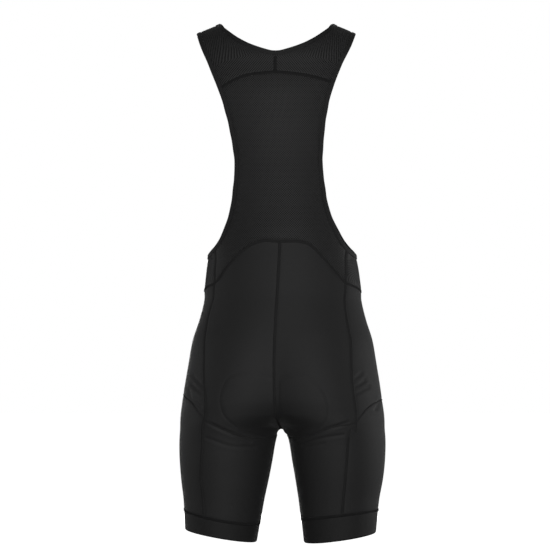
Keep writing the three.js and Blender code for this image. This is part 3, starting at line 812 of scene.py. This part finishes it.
def knit_group():
    """Fine stretch knit: rows of small loops, from a flat map in metres."""
    group = bpy.data.node_groups.new("Stretch knit", "ShaderNodeTree")
    socket_in(group, "Map", None, "NodeSocketVector")
    socket_in(group, "Loops per metre", 2200.0)
    group.interface.new_socket("Height", in_out="OUTPUT", socket_type="NodeSocketFloat")
    nodes, links = group.nodes, group.links
    start, end = nodes.new("NodeGroupInput"), nodes.new("NodeGroupOutput")
    scale = nodes.new("ShaderNodeVectorMath")
    scale.operation = "SCALE"
    links.new(start.outputs["Map"], scale.inputs[0])
    links.new(start.outputs["Loops per metre"], scale.inputs["Scale"])
    apart = nodes.new("ShaderNodeSeparateXYZ")
    links.new(scale.outputs[0], apart.inputs[0])
    x, y = apart.outputs[0], apart.outputs[1]
    wale = math_node(group, "ABSOLUTE", math_node(group, "SINE", math_node(group, "MULTIPLY", x, PI)))
    swing = math_node(group, "MULTIPLY", wale, 0.8)
    row = math_node(group, "ADD", math_node(group, "MULTIPLY", y, 2 * PI), swing)
    course = math_node(group, "SINE", row)
    raised = math_node(group, "ADD", math_node(group, "MULTIPLY", course, 0.35), 0.65)
    height = math_node(group, "MULTIPLY", wale, raised)
    links.new(height, end.inputs["Height"])
    return group


def mesh_group():
    """Open mesh knit: staggered small holes, from a flat map in metres."""
    group = bpy.data.node_groups.new("Open mesh", "ShaderNodeTree")
    socket_in(group, "Map", None, "NodeSocketVector")
    socket_in(group, "Pitch", 0.0042)
    group.interface.new_socket("Hole", in_out="OUTPUT", socket_type="NodeSocketFloat")
    group.interface.new_socket("Height", in_out="OUTPUT", socket_type="NodeSocketFloat")
    nodes, links = group.nodes, group.links
    start, end = nodes.new("NodeGroupInput"), nodes.new("NodeGroupOutput")
    apart = nodes.new("ShaderNodeSeparateXYZ")
    links.new(start.outputs["Map"], apart.inputs[0])
    x = math_node(group, "DIVIDE", apart.outputs[0], start.outputs["Pitch"])
    y = math_node(group, "DIVIDE", apart.outputs[1], start.outputs["Pitch"])
    plus = math_node(group, "ADD", x, y)
    minus = math_node(group, "SUBTRACT", x, y)
    ridge_a = math_node(group, "COSINE", math_node(group, "MULTIPLY", plus, 2 * PI))
    ridge_b = math_node(group, "COSINE", math_node(group, "MULTIPLY", minus, 2 * PI))
    both = math_node(group, "MULTIPLY", math_node(group, "ADD", ridge_a, ridge_b), 0.5)
    ramp = nodes.new("ShaderNodeMapRange")
    ramp.interpolation_type = "SMOOTHSTEP"
    ramp.inputs["From Min"].default_value = 0.08
    ramp.inputs["From Max"].default_value = 0.45
    links.new(both, ramp.inputs["Value"])
    links.new(ramp.outputs[0], end.inputs["Hole"])
    height = math_node(group, "SUBTRACT", 1.0, ramp.outputs[0])
    links.new(height, end.inputs["Height"])
    return group


def wear_group():
    """Broad and fine unevenness of dyed black cloth: two masks about one half."""
    group = bpy.data.node_groups.new("Cloth unevenness", "ShaderNodeTree")
    socket_in(group, "Place", None, "NodeSocketVector")
    group.interface.new_socket("Broad", in_out="OUTPUT", socket_type="NodeSocketFloat")
    group.interface.new_socket("Fine", in_out="OUTPUT", socket_type="NodeSocketFloat")
    nodes, links = group.nodes, group.links
    start, end = nodes.new("NodeGroupInput"), nodes.new("NodeGroupOutput")
    for name, scale, detail in (("Broad", 9.0, 3.0), ("Fine", 900.0, 1.0)):
        noise = nodes.new("ShaderNodeTexNoise")
        noise.inputs["Scale"].default_value = scale
        noise.inputs["Detail"].default_value = detail
        links.new(start.outputs["Place"], noise.inputs["Vector"])
        links.new(noise.outputs[0], end.inputs[name])
    return group


def add_group(tree, group, **values):
    node = tree.nodes.new("ShaderNodeGroup")
    node.node_tree = group
    for name, value in values.items():
        node.inputs[name].default_value = value
    return node


def mixed(tree, low, high, share):
    node = tree.nodes.new("ShaderNodeMix")
    node.data_type = "RGBA"
    for name, value in (("A", low), ("B", high)):
        socket = [s for s in node.inputs if s.name == name and s.type == "RGBA"][0]
        if isinstance(value, (tuple, list)):
            socket.default_value = (*value[:3], 1)
        else:
            tree.links.new(value, socket)
    tree.links.new(share, node.inputs["Factor"])
    return [s for s in node.outputs if s.type == "RGBA"][0]


def shades(colour, amount):
    """A darker and a lighter shade of a colour."""
    return tuple(c * (1 - amount) for c in colour[:3]), tuple(c * (1 + amount) for c in colour[:3])


def bump(tree, height, distance):
    node = tree.nodes.new("ShaderNodeBump")
    node.inputs["Distance"].default_value = distance
    node.inputs["Strength"].default_value = 1.0
    tree.links.new(height, node.inputs["Height"])
    return node.outputs[0]


def start_material(name, sheen, sheen_rough, specular):
    material = bpy.data.materials.new(name)
    material.use_nodes = True
    tree = material.node_tree
    shader = tree.nodes["Principled BSDF"]
    shader.inputs["Specular IOR Level"].default_value = specular
    shader.inputs["Sheen Weight"].default_value = sheen
    shader.inputs["Sheen Roughness"].default_value = sheen_rough
    shader.inputs["Sheen Tint"].default_value = (1, 1, 1, 1)
    place = tree.nodes.new("ShaderNodeTexCoord").outputs["Object"]
    flat = tree.nodes.new("ShaderNodeUVMap")
    flat.uv_map = "cloth"
    return material, tree, shader, place, flat.outputs[0]


def roughness(tree, shader, mask, low, high):
    """Lets a mask set the roughness between two values."""
    span = tree.nodes.new("ShaderNodeMapRange")
    span.inputs["To Min"].default_value = low
    span.inputs["To Max"].default_value = high
    tree.links.new(mask, span.inputs["Value"])
    tree.links.new(span.outputs[0], shader.inputs["Roughness"])


def lycra_material(name, colour, knit, wear, sheen, loops, depth):
    material, tree, shader, place, flat = start_material(name, sheen, 0.2, 0.16)
    uneven = add_group(tree, wear)
    tree.links.new(place, uneven.inputs["Place"])
    loops_node = add_group(tree, knit, **{"Loops per metre": loops})
    tree.links.new(flat, loops_node.inputs["Map"])
    low, high = shades(colour, 0.16)
    base = mixed(tree, low, high, uneven.outputs["Broad"])
    # Darker, down to six tenths of the colour, between the knit's loops: painted shade in the knit's hollows.
    grain = mixed(tree, tuple(c * 0.6 for c in colour[:3]), base, loops_node.outputs["Height"])
    tree.links.new(grain, shader.inputs["Base Color"])
    roughness(tree, shader, uneven.outputs["Fine"], 0.6, 0.76)
    normal = bump(tree, loops_node.outputs["Height"], depth)
    tree.links.new(normal, shader.inputs["Normal"])
    return material


def mesh_material(name, colour, net, wear):
    material, tree, shader, place, flat = start_material(name, 0.03, 0.3, 0.12)
    uneven = add_group(tree, wear)
    tree.links.new(place, uneven.inputs["Place"])
    holes = add_group(tree, net)
    tree.links.new(flat, holes.inputs["Map"])
    low, high = shades([c * 1.3 for c in colour], 0.14)
    base = mixed(tree, low, high, uneven.outputs["Broad"])
    # The holes are not cut: near-black painted shade in them stands in for the dark inside seen through the
    # mesh.
    hole_shade = tuple(c * 0.05 for c in colour[:3])
    tone = mixed(tree, base, hole_shade, holes.outputs["Hole"])
    tree.links.new(tone, shader.inputs["Base Color"])
    roughness(tree, shader, holes.outputs["Hole"], 0.55, 0.9)
    normal = bump(tree, holes.outputs["Height"], 0.0005)
    tree.links.new(normal, shader.inputs["Normal"])
    return material


def thread_material(name, colour, wear):
    material, tree, shader, place, _ = start_material(name, 0.06, 0.4, 0.12)
    uneven = add_group(tree, wear)
    tree.links.new(place, uneven.inputs["Place"])
    low, high = shades(colour, 0.25)
    tree.links.new(mixed(tree, low, high, uneven.outputs["Fine"]), shader.inputs["Base Color"])
    roughness(tree, shader, uneven.outputs["Fine"], 0.55, 0.75)
    normal = bump(tree, uneven.outputs["Fine"], 0.0001)
    tree.links.new(normal, shader.inputs["Normal"])
    return material


def wear_it(obj, material):
    obj.data.materials.clear()
    obj.data.materials.append(material)
    return obj


def cloth_piece(obj, node, material):
    wear_it(obj, material)
    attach(obj, "root")
    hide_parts(node)


def trim_piece(obj, material):
    wear_it(obj, material)
    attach(obj, "root")
    return obj


# The knitted finishes: colour, sheen, loops per metre and how deep they are in metres
KNITS = {
    "stretch cloth": ("stretch", 0.1, 2200.0, 0.00006),
    "leg band cloth": ("band", 0.08, 1500.0, 0.0001),
    "binding tape": ("binding", 0.08, 1300.0, 0.00012),
    # The two seam tapes take colours darker than the cloth: painted shade along the seams.
    "seam tape": ("seam", 0.05, 1300.0, 0.00012),
    "soft seam tape": ("soft_seam", 0.05, 1300.0, 0.00012),
    "seat pad cloth": ("pad", 0.2, 1200.0, 0.0001),
}


def finish_of(context, name):
    """One of this garment's materials, made when first asked for."""
    found = bpy.data.materials.get(name)
    if found:
        return found
    c = context.scene.bib_shorts_colours
    groups = bpy.data.node_groups
    knit = groups.get("Stretch knit") or knit_group()
    net = groups.get("Open mesh") or mesh_group()
    wear = groups.get("Cloth unevenness") or wear_group()
    if name in KNITS:
        colour_name, *rest = KNITS[name]
        return lycra_material(name, getattr(c, colour_name), knit, wear, *rest)
    if name == "mesh cloth":
        return mesh_material(name, c.mesh, net, wear)
    return thread_material(name, c.thread, wear)


# Panels


def patch(name, domain, place, thick):
    """A cloth panel over a patch of surface coordinates, with its folds and its sunk seams."""
    at, out = stand(place(domain[..., 0], domain[..., 1]))
    rise = back_relief(at, out) + sewn_rise(at)
    return wall(name, creased(at, out), out, rise, thick, grain=domain[..., 1])


# Settings


def length(name, words, value, low, high):
    return bpy.props.FloatProperty(
        name=name, description=words, default=value, min=low, max=high,
        unit="LENGTH", subtype="DISTANCE", precision=5,
    )


def colour(name, words, value):
    return bpy.props.FloatVectorProperty(
        name=name, description=words, default=value, size=3, min=0, max=1, subtype="COLOR"
    )


def power(name, words, value):
    return bpy.props.FloatProperty(name=name, description=words, default=value, min=0, unit="POWER")


class BibShortsSizes(bpy.types.PropertyGroup):
    """Sizes of the cloth, the seams and the stitches."""

    stretch_wall: length("Stretch cloth", "Thickness of the stretch panels", 0.0014, 0.0005, 0.003)
    mesh_wall: length("Mesh cloth", "Thickness of the mesh panels", 0.0012, 0.0005, 0.003)
    band_wall: length("Leg band", "Thickness of the leg bands", 0.002, 0.0008, 0.003)
    seam_wide: length("Seam width", "Width of the flat seams", 0.0056, 0.002, 0.01)
    seam_rise: length("Seam rise", "Height of the flat seams above the cloth", 0.0005, 0.0001, 0.0015)
    stitch: length("Stitch", "Length of one stitch along a seam", 0.0024, 0.001, 0.005)
    thread: length("Thread", "Thickness of the sewing thread", 0.00046, 0.0002, 0.001)
    binding_wide: length("Binding width", "Width of the folded binding", 0.007, 0.004, 0.012)


class BibShortsColours(bpy.types.PropertyGroup):
    """Colours of the cloths and threads."""

    stretch: colour("Stretch cloth", "Seat, hips and thighs", (0.0175, 0.0175, 0.0177))
    mesh: colour("Mesh cloth", "Back panel, yoke, straps and bib", (0.0155, 0.0155, 0.0157))
    band: colour("Leg band", "Bands at the leg openings", (0.0135, 0.0135, 0.0136))
    binding: colour("Binding", "Tape round the neck and the armholes", (0.015, 0.015, 0.0152))
    # Seam tape and soft seam tape are darker than the cloth they join: painted shade along the seams.
    seam: colour("Seam tape", "Flat seams between the panels", (0.0092, 0.0092, 0.0094))
    soft_seam: colour("Soft seam tape", "Seams that lie flatter in the cloth", (0.0145, 0.0145, 0.0147))
    pad: colour("Seat pad", "Cloth of the seat pad", (0.03, 0.031, 0.035))
    # The thread is near black, darker than the cloth: painted shade along the seams and bindings.
    thread: colour("Thread", "Sewing thread of the seams", (0.005, 0.005, 0.0052))


class BibShortsStage(bpy.types.PropertyGroup):
    """The view, the floor and the light."""

    distance: length("Camera distance", "From the camera to the garment", 30.0, 1.0, 60.0)
    floor_drop: length("Floor", "Height of the floor", -0.93, -2.0, 0.0)
    key: power("Key light", "Power of the large soft light", 225.0)
    front: power("Front light", "Power of the soft light on the front", 120.0)
    rim: power("Side lights", "Power of the two side lights", 9.0)
    surround: bpy.props.FloatProperty(
        name="Surround", description="Light that the white surround casts", default=0.16, min=0
    )


# Operators


class BIB_OT_mesh_panels(bpy.types.Operator):
    """Makes the back mesh, both yoke halves with their straps, and the front bib."""

    bl_idname = "bib_shorts.mesh_panels"
    bl_label = "Mesh panels"

    def execute(self, context):
        thick = context.scene.bib_shorts_sizes.mesh_wall / MM
        cloth = finish_of(context, "mesh cloth")
        left, right = SIDES[1], SIDES[-1]

        def flat(s, path):
            p = s.place(path[:, 0], path[:, 1])
            return np.stack([p[:, 0], path[:, 1]], -1)

        edges = []
        for s in (left, right):
            strap = STRAPS[s.side]
            d = np.linspace(strap.end[1], SIDE_TOP[1], 80)
            arm = np.stack([s.side * armhole_half(d)["half"], d], -1)
            edges.append(np.vstack([walk(arm, back_at, 110), pick(flat(s, s.side_up), 30)[1:]]))
        yokes = []
        for s in (left, right):
            p = STRAPS[s.side].start
            h = height_of(p[:, 1])
            yokes.append(np.stack([p[:, 0], h + crest_fall(p[:, 0], h)], -1))
        top = np.vstack([pick(yokes[0], 50)[::-1], pick(yokes[1], 50)[1:]])
        low = np.vstack([pick(flat(left, left.arch), 50), pick(flat(right, right.arch), 50)[::-1][1:]])
        domain = fill(top, low, edges[0], edges[1])
        back = patch("back_mesh_cloth", domain, back_at, thick)
        cloth_piece(back, "back_mesh", cloth)
        for side, strap in STRAPS.items():
            domain = fill(
                pick(strap.start, 30), pick(strap.finish, 30), pick(strap.inner, 250), pick(strap.outer, 250)
            )
            yoke = patch("yoke_strap_cloth_" + NAMES[side], domain, strap_at, thick)
            cloth_piece(yoke, "yoke_strap_" + NAMES[side], cloth)
        halves = []
        for s in (left, right):
            side_up = pick(s.side_up, 40)
            halves.append(fill(s.bib_top, s.bib_low, side_up, s.bib_middle))
        laid = [stand(s.place(h[..., 0], h[..., 1])) for s, h in zip((left, right), halves)]
        at = np.concatenate([laid[0][0], laid[1][0][:, ::-1][:, 1:]], 1)
        out = np.concatenate([laid[0][1], laid[1][1][:, ::-1][:, 1:]], 1)
        grain = np.concatenate([halves[0][..., 1], halves[1][:, ::-1][:, 1:, 1]], 1)
        bib = wall("front_bib_cloth", at, out, sewn_rise(at), thick, grain=grain)
        cloth_piece(bib, "front_bib", cloth)
        return {"FINISHED"}


class BIB_OT_stretch_panels(bpy.types.Operator):
    """Makes the seat, hip, thigh and back leg panels of both sides."""

    bl_idname = "bib_shorts.stretch_panels"
    bl_label = "Stretch panels"

    def execute(self, context):
        thick = context.scene.bib_shorts_sizes.stretch_wall / MM
        cloth = finish_of(context, "stretch cloth")
        for side, s in SIDES.items():
            name = NAMES[side]
            front_inseam = s.inseam * (-1, 1)
            panels = (
                ("seat", s.arch, s.under, 104, s.side_low, s.centre_back, 172, (0.17, 0.36), 0.042),
                ("hip_front", s.bib_low, s.hip, 132, s.side_low, s.centre_front, 108, (0.28, 0.27), 0.055),
                ("thigh_front", s.hip, s.band_front, 120, s.leg, front_inseam, 90, (0.36, 0.2), 0.06),
                ("back_leg", s.under, s.band_back, 90, s.leg, s.inseam, 110, (0.17, 0.16), 0.023),
            )
            for part, top, low, wide, first, last, long, flat, area in panels:
                domain = fill(pick(top, wide), pick(low, wide), pick(first, long), pick(last, long))
                panel = patch(f"{part}_cloth_{name}", domain, s.place, thick)
                cloth_piece(panel, f"{part}_{name}", cloth)
        return {"FINISHED"}


class BIB_OT_leg_bands(bpy.types.Operator):
    """Makes the two leg bands, turned up at the hem."""

    bl_idname = "bib_shorts.leg_bands"
    bl_label = "Leg bands"

    def execute(self, context):
        thick = context.scene.bib_shorts_sizes.band_wall / MM
        cloth = finish_of(context, "leg band cloth")
        for side, s in SIDES.items():
            n, rows = 160, 22
            turn = np.linspace(-PI, PI, 120)
            angle = walk(np.stack([turn, s.band_at(turn)], -1), s.place, n)[:-1, 0]
            t = np.linspace(0, 1, rows)[:, None]
            down = s.band_at(angle)[None] * (1 - t) + s.hem_at(angle)[None] * t
            at, out = stand(s.place(np.broadcast_to(angle, down.shape), down))
            drop = (1 - t) * (s.hem_at(0) - s.band_at(0))
            edge = np.minimum(drop, 1.2) / 1.2
            round_off = 1 - np.sqrt(np.clip(1 - (1 - edge) ** 2, 0, 1))
            rise = -0.5 * (1 - soft(t * 35, 0.5, 6)) - 0.9 * round_off
            rise = rise + cloth_play(at) * 0.6
            band_thick = thick - 1.2 * round_off
            band = wall("leg_band_cloth_" + NAMES[side], at, out, rise, band_thick, ring=True)
            cloth_piece(band, "leg_band_" + NAMES[side], cloth)
        return {"FINISHED"}


def binding_profile(wide, wall_mm):
    """Cross-section of the folded tape, from the cloth's edge outwards."""
    outer = [(wide * 0.45, 0.74), (wide * 0.8, 0.64), (wide * 0.94, 0.3)]
    over = [(-0.9, 0.1), (-0.7, 0.5), (0.4, 0.66), *outer]
    under = [(x, -wall_mm - y) for x, y in over[::-1]]
    return [*over, (wide, -wall_mm / 2), *under]


def ridge_profile(half, rise):
    """Cross-section of a flat seam, with a slight hollow along its middle."""
    left = [(-half, -1.1), (-half, -0.25), (-half * 0.8, rise * 0.55 - 0.1), (-half * 0.3, rise - 0.06)]
    return [*left, (0, rise * 0.78), *[(-x, y) for x, y in left[::-1]]]


def neck_loop():
    """The edge of the cloth round the neck, as points and ways out."""
    parts = []
    for side in (1, -1):
        strap = STRAPS[side]
        inner = stand(strap_at(*strap.inner[20:].T))
        scoop = stand(SIDES[side].place(*SIDES[side].scoop.T))
        both = [np.concatenate([a, b[1:]]) for a, b in zip(inner, scoop)]
        parts.append(both if side == 1 else [b[::-1] for b in both])
    return [np.concatenate([a[:-1], b[:-1]]) for a, b in zip(*parts)]


def armhole_loop(side):
    """The edge of the cloth round one armhole, as points and ways out."""
    s, strap = SIDES[side], STRAPS[side]
    d = np.linspace(strap.end[1], SIDE_TOP[1], 80)
    back = walk(np.stack([side * armhole_half(d)["half"], d], -1), back_at, 110)
    parts = [stand(back_at(*back.T)), stand(s.place(*s.arm_low.T)), stand(strap_at(*strap.outer[::-1].T))]
    return [np.concatenate([p[k][:-1] for p in parts]) for k in (0, 1)]


def evened(at, out, count):
    """A closed loop taken at even steps, with its corners eased."""
    pts = np.vstack([at, at[:1]])
    run = run_of(pts)
    goal = np.linspace(0, run[-1], count, endpoint=False)
    ways = np.vstack([out, out[:1]])
    at = np.stack([np.interp(goal, run, pts[:, c]) for c in range(3)], -1)
    out = np.stack([np.interp(goal, run, ways[:, c]) for c in range(3)], -1)
    for _ in range(3):
        out = unit(out + np.roll(out, 1, 0) + np.roll(out, -1, 0))
    return at, out


class BIB_OT_bindings(bpy.types.Operator):
    """Makes the folded bindings of the neck and the armholes, with their stitches."""

    bl_idname = "bib_shorts.bindings"
    bl_label = "Bindings"

    def execute(self, context):
        sizes = context.scene.bib_shorts_sizes
        tape, sewn = finish_of(context, "binding tape"), finish_of(context, "sewing thread")
        loops = {
            "neck_binding": (neck_loop(), 760, (0.010, 1.45)),
            "armhole_binding_left": (armhole_loop(1), 540, (0.010, 0.98)),
            "armhole_binding_right": (armhole_loop(-1), 540, (0.010, 0.98)),
        }
        for node, ((at, out), count, flat) in loops.items():
            at, out = evened(at, out, count)
            across = across_of(at, out, closed=True)
            middle = at.mean(0)
            if np.einsum("ij,ij->i", across, middle - at).mean() < 0:
                across = -across
            profile = binding_profile(sizes.binding_wide / MM, sizes.mesh_wall / MM)
            tape_piece = sweep(node + "_tape", at, out, across, profile, closed=True)
            t = even_steps(at, sizes.stitch / MM * 1.15, closed=True)
            parts = []
            for offset, up in ((1.1, 0.72), (4.4, 0.74)):
                line = at_steps(at + across * offset + out * up, t, closed=True)
                ways = at_steps(out, t, closed=True)
                parts.append(row_of_stitches(line, ways, 0.78, sizes.thread / MM / 2, 0.12))
            stitches = join_threads(node + "_stitches", parts)
            trim_piece(stitches, sewn)
            cloth_piece(tape_piece, node, tape)
        return {"FINISHED"}


# Seams of thin tape in the cloth's own colour, and seams that lie flatter in soft seam tape with a lighter
# painted shade, by how their names start; the others take the dark seam tape and thread, painted shade along
# the seam
THIN_SEAMS = ("under_", "hip_")
SOFT_SEAMS = ("centre_", "leg_", "side_", "inseam_", "arch", "bib_")


class BIB_OT_flat_seams(bpy.types.Operator):
    """Makes the flat seams between the panels, each a low ridge crossed by its stitches."""

    bl_idname = "bib_shorts.flat_seams"
    bl_label = "Flat seams"

    def execute(self, context):
        sizes = context.scene.bib_shorts_sizes
        tape, sewn = finish_of(context, "seam tape"), finish_of(context, "sewing thread")
        half, rise = sizes.seam_wide / MM / 2, sizes.seam_rise / MM
        cloth, soft_shaded_tape = finish_of(context, "stretch cloth"), finish_of(context, "soft seam tape")
        left, right = SIDES[1], SIDES[-1]
        paths = {}

        def add(name, *parts):
            laid = [stand(place(path[:, 0], path[:, 1])) for path, place in parts]
            at = np.concatenate([p[0] if i == 0 else p[0][1:] for i, p in enumerate(laid)])
            out = np.concatenate([p[1] if i == 0 else p[1][1:] for i, p in enumerate(laid)])
            at = creased(at, out) + out * back_relief(at, out)[:, None]
            thin = name.startswith(THIN_SEAMS)
            paths[name] = (at, out, half * (0.5 if thin else 1), rise * (0.4 if thin else 1))

        add("yoke", (STRAPS[1].start[::-1], strap_at), (STRAPS[-1].start, strap_at))
        add("upper_centre", (STRAPS[1].centre[:-2], strap_at))
        add("arch", (left.arch, left.place), (right.arch[::-1], right.place))
        add("centre_back", (left.centre_back[:-6], left.place))
        add("centre_front", (left.centre_front[:-6], left.place))
        add("bib_low", (left.bib_low, left.place), (right.bib_low[::-1], right.place))
        for side, s in SIDES.items():
            name = NAMES[side]
            add("side_" + name, (s.side_up, s.place), (s.side_low, s.place))
            add("under_seat_" + name, (s.under[:-2], s.place))
            if side == 1:
                add("leg_" + name, (s.leg, s.place))
            else:
                start = int(np.argmin(np.abs(s.leg[:, 1] - 725)))
                add("leg_" + name, (s.leg[start:], s.place))
                add("under_leg_" + name, (s.leg[: start + 1], s.place))
                tail = walk(seen(side, [(-140, 702), (-140, 710), (-139, 717)]), s.place, 8)
                add("side_tail_" + name, (tail, s.place))
            add("hip_" + name, (s.hip[:-2], s.place))
            add("inseam_" + name, (s.inseam, s.place))
            add("band_" + name, (s.band_back, s.place), (s.band_front[::-1], s.place))
            add("strap_end_" + name, (STRAPS[side].finish, strap_at))
        for name, (at, out, half, rise) in paths.items():
            t = even_steps(at, 2.0)
            ridge_at, ridge_out = at_steps(at, t), unit(at_steps(out, t))
            across = across_of(ridge_at, ridge_out)
            ridge = sweep("seam_" + name, ridge_at, ridge_out, across, ridge_profile(half, rise))
            parts = seam_stitches(at, out, half, rise, sizes.stitch / MM, sizes.thread / MM / 2)
            stitches = join_threads("stitches_" + name, parts)
            # Thin seams keep the cloth's colour; the others are painted darker as shade along the seam, the
            # soft ones less.
            if name.startswith(THIN_SEAMS):
                finishes = cloth, cloth
            elif name.startswith(SOFT_SEAMS):
                finishes = soft_shaded_tape, soft_shaded_tape
            else:
                finishes = tape, sewn
            trim_piece(ridge, finishes[0])
            trim_piece(stitches, finishes[1])
        return {"FINISHED"}


class BIB_OT_seat_pad(bpy.types.Operator):
    """Makes the seat pad inside, with its raised foam and its middle channel."""

    bl_idname = "bib_shorts.seat_pad"
    bl_label = "Seat pad"

    def execute(self, context):
        cloth = finish_of(context, "seat pad cloth")
        halves = []
        for side, s in SIDES.items():
            quarters = []
            for back in (True, False):
                sign = 1 if back else -1
                if back:
                    edge = seen(side, PAD_EDGE[side][:7])
                else:
                    edge = [(-1.72, 652), (-1.6, 652), (-1.42, 655), (-1.36, 664), (-1.5, 680), (-1.8, 697)]
                low, top_down, corner = (sign * PI, 742), 624 if back else 652, 4 if back else 3
                top = [(sign * float(end_angle(top_down)), top_down), *edge[0 if back else 1 : corner + 1]]
                outer = [*edge[corner:], (sign * 2.5, 724 if back else 722), (sign * 2.9, 742), low]
                d = top_down + (CROTCH_DOWN - top_down) * np.sin(PI / 2 * np.linspace(0, 1, 81))
                a = sign * end_angle(d)
                a[-1] = sign * PI
                middle = np.stack([a, d], -1)
                n = 56 if back else 40
                domain = fill(
                    walk(curve(top), s.place, 40),
                    walk([(sign * PI, CROTCH_DOWN), low], s.place, 40),
                    walk(middle, s.place, n),
                    walk(curve(outer), s.place, n),
                )
                quarters.append(stand(s.place(domain[..., 0], domain[..., 1])))
            at = np.concatenate([quarters[0][0], quarters[1][0][::-1][1:]])
            out = np.concatenate([quarters[0][1], quarters[1][1][::-1][1:]])
            halves.append((at, out))
        at = np.concatenate([halves[0][0][:, ::-1], halves[1][0][:, 1:]], 1)
        out = np.concatenate([halves[0][1][:, ::-1], halves[1][1][:, 1:]], 1)
        rows, columns = at.shape[:2]
        u = np.abs(np.linspace(-1, 1, columns))[None]
        v = np.linspace(0, 1, rows)[:, None]
        rim = soft(edge_gap(at), 0, 9)
        lobe = soft(u, 0.12, 0.3) * (1 - soft(u, 0.72, 0.9)) * soft(v, 0.03, 0.12) * (1 - soft(v, 0.52, 0.66))
        channel = np.exp(-((u / 0.07) ** 2)) * soft(v, 0.05, 0.15) * (1 - soft(v, 0.85, 0.95))
        groove = np.exp(-(((u - 0.5) / 0.045) ** 2)) * lobe
        thick = 2.2 + rim * (2.6 + 4.0 * lobe - 1.6 * channel - 1.8 * groove)
        rise = np.full(thick.shape, -PAD_SINK)
        pad = wall("seat_pad_foam", creased(at, out), out, rise, thick)
        wear_it(pad, cloth)
        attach(pad, "root")
        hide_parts("seat_pad")
        return {"FINISHED"}


def floor_material():
    """A pale matt floor that the camera sees as white."""
    material = bpy.data.materials.new("pale floor")
    material.use_nodes = True
    tree = material.node_tree
    shader = tree.nodes["Principled BSDF"]
    shader.inputs["Base Color"].default_value = (0.28, 0.28, 0.28, 1)
    shader.inputs["Roughness"].default_value = 0.9
    shader.inputs["Specular IOR Level"].default_value = 0.0
    shader.inputs["Emission Color"].default_value = (1, 1, 1, 1)
    seen = tree.nodes.new("ShaderNodeLightPath").outputs["Is Camera Ray"]
    tree.links.new(math_node(tree, "MULTIPLY", seen, 0.97), shader.inputs["Emission Strength"])
    return material


class BIB_OT_stage(bpy.types.Operator):
    """Sets the floor, the surround, the soft lights and the camera."""

    bl_idname = "bib_shorts.stage"
    bl_label = "Stage"

    def execute(self, context):
        stage = context.scene.bib_shorts_stage
        scene = context.scene
        scene.view_settings.view_transform = "Standard"
        world = bpy.data.worlds.new("white surround")
        scene.world = world
        world.use_nodes = True
        tree = world.node_tree
        ground = tree.nodes["Background"]
        ground.inputs["Color"].default_value = (1, 1, 1, 1)
        seen_white = tree.nodes.new("ShaderNodeMapRange")
        seen_white.inputs["To Min"].default_value = stage.surround
        seen_white.inputs["To Max"].default_value = 1.0
        seen = tree.nodes.new("ShaderNodeLightPath").outputs["Is Camera Ray"]
        tree.links.new(seen, seen_white.inputs["Value"])
        tree.links.new(seen_white.outputs[0], ground.inputs["Strength"])
        bpy.ops.mesh.primitive_plane_add(size=60, location=(0, 0, stage.floor_drop))
        floor = context.object
        floor.name = "floor"
        floor.data.materials.append(floor_material())

        def light(name, place, size, power, aim=(0, 0, -0.45)):
            lamp = bpy.data.lights.new(name, "AREA")
            lamp.shape = "RECTANGLE"
            lamp.size, lamp.size_y = size
            lamp.energy = power
            obj = bpy.data.objects.new(name, lamp)
            scene.collection.objects.link(obj)
            obj.location = place
            obj.visible_camera = False
            obj.rotation_euler = (Vector(aim) - Vector(place)).to_track_quat("-Z", "Y").to_euler()

        light("key", (-0.4, 5.0, 0.15), (3.4, 2.2), stage.key)
        light("front", (0.4, -5.0, 0.1), (1.4, 1.4), stage.front)
        light("side_left", (2.1, -1.0, -0.5), (0.8, 0.9), stage.rim, (0, 0, -0.6))
        light("side_right", (-2.1, -1.0, -0.5), (0.8, 0.9), stage.rim * 1.8, (0, 0, -0.6))
        data = bpy.data.cameras.new("camera")
        camera = bpy.data.objects.new("camera", data)
        scene.collection.objects.link(camera)
        scene.camera = camera
        data.sensor_width = 36
        data.lens = data.sensor_width * stage.distance / (PICTURE * PIXEL_MM * MM)
        data.clip_end = 200
        middle_row = PICTURE / 2 - SHOULDER_ROW
        camera.location = (0.0026, stage.distance, -middle_row * PIXEL_MM * MM)
        camera.rotation_euler = (math.radians(90), 0, math.radians(180))
        return {"FINISHED"}


class BIB_PT_panel(bpy.types.Panel):
    """Lists the settings and the steps in the sidebar."""

    bl_idname = "BIB_PT_panel"
    bl_label = "Bib Shorts"
    bl_space_type = "VIEW_3D"
    bl_region_type = "UI"
    bl_category = "Bib Shorts"

    def draw(self, context):
        for group in (
            context.scene.bib_shorts_sizes,
            context.scene.bib_shorts_colours,
            context.scene.bib_shorts_stage,
        ):
            box = self.layout.box()
            for key in group.__annotations__:
                box.prop(group, key)
        for step in STEPS:
            self.layout.operator(step.bl_idname)


STEPS = (
    BIB_OT_flat_seams,
    BIB_OT_mesh_panels,
    BIB_OT_stretch_panels,
    BIB_OT_leg_bands,
    BIB_OT_bindings,
    BIB_OT_seat_pad,
    BIB_OT_stage,
)
SETTINGS = {
    "bib_shorts_sizes": BibShortsSizes,
    "bib_shorts_colours": BibShortsColours,
    "bib_shorts_stage": BibShortsStage,
}


def register():
    for cls in (*SETTINGS.values(), *STEPS, BIB_PT_panel):
        bpy.utils.register_class(cls)
    for name, cls in SETTINGS.items():
        setattr(bpy.types.Scene, name, bpy.props.PointerProperty(type=cls))


def unregister():
    for name in SETTINGS:
        delattr(bpy.types.Scene, name)
    for cls in (BIB_PT_panel, *reversed(STEPS), *reversed(SETTINGS.values())):
        bpy.utils.unregister_class(cls)


def main():
    register()
    bpy.ops.bib_shorts.flat_seams()
    bpy.ops.bib_shorts.mesh_panels()
    bpy.ops.bib_shorts.stretch_panels()
    bpy.ops.bib_shorts.leg_bands()
    bpy.ops.bib_shorts.bindings()
    bpy.ops.bib_shorts.seat_pad()
    bpy.ops.bib_shorts.stage()


if __name__ == "__main__":
    main()
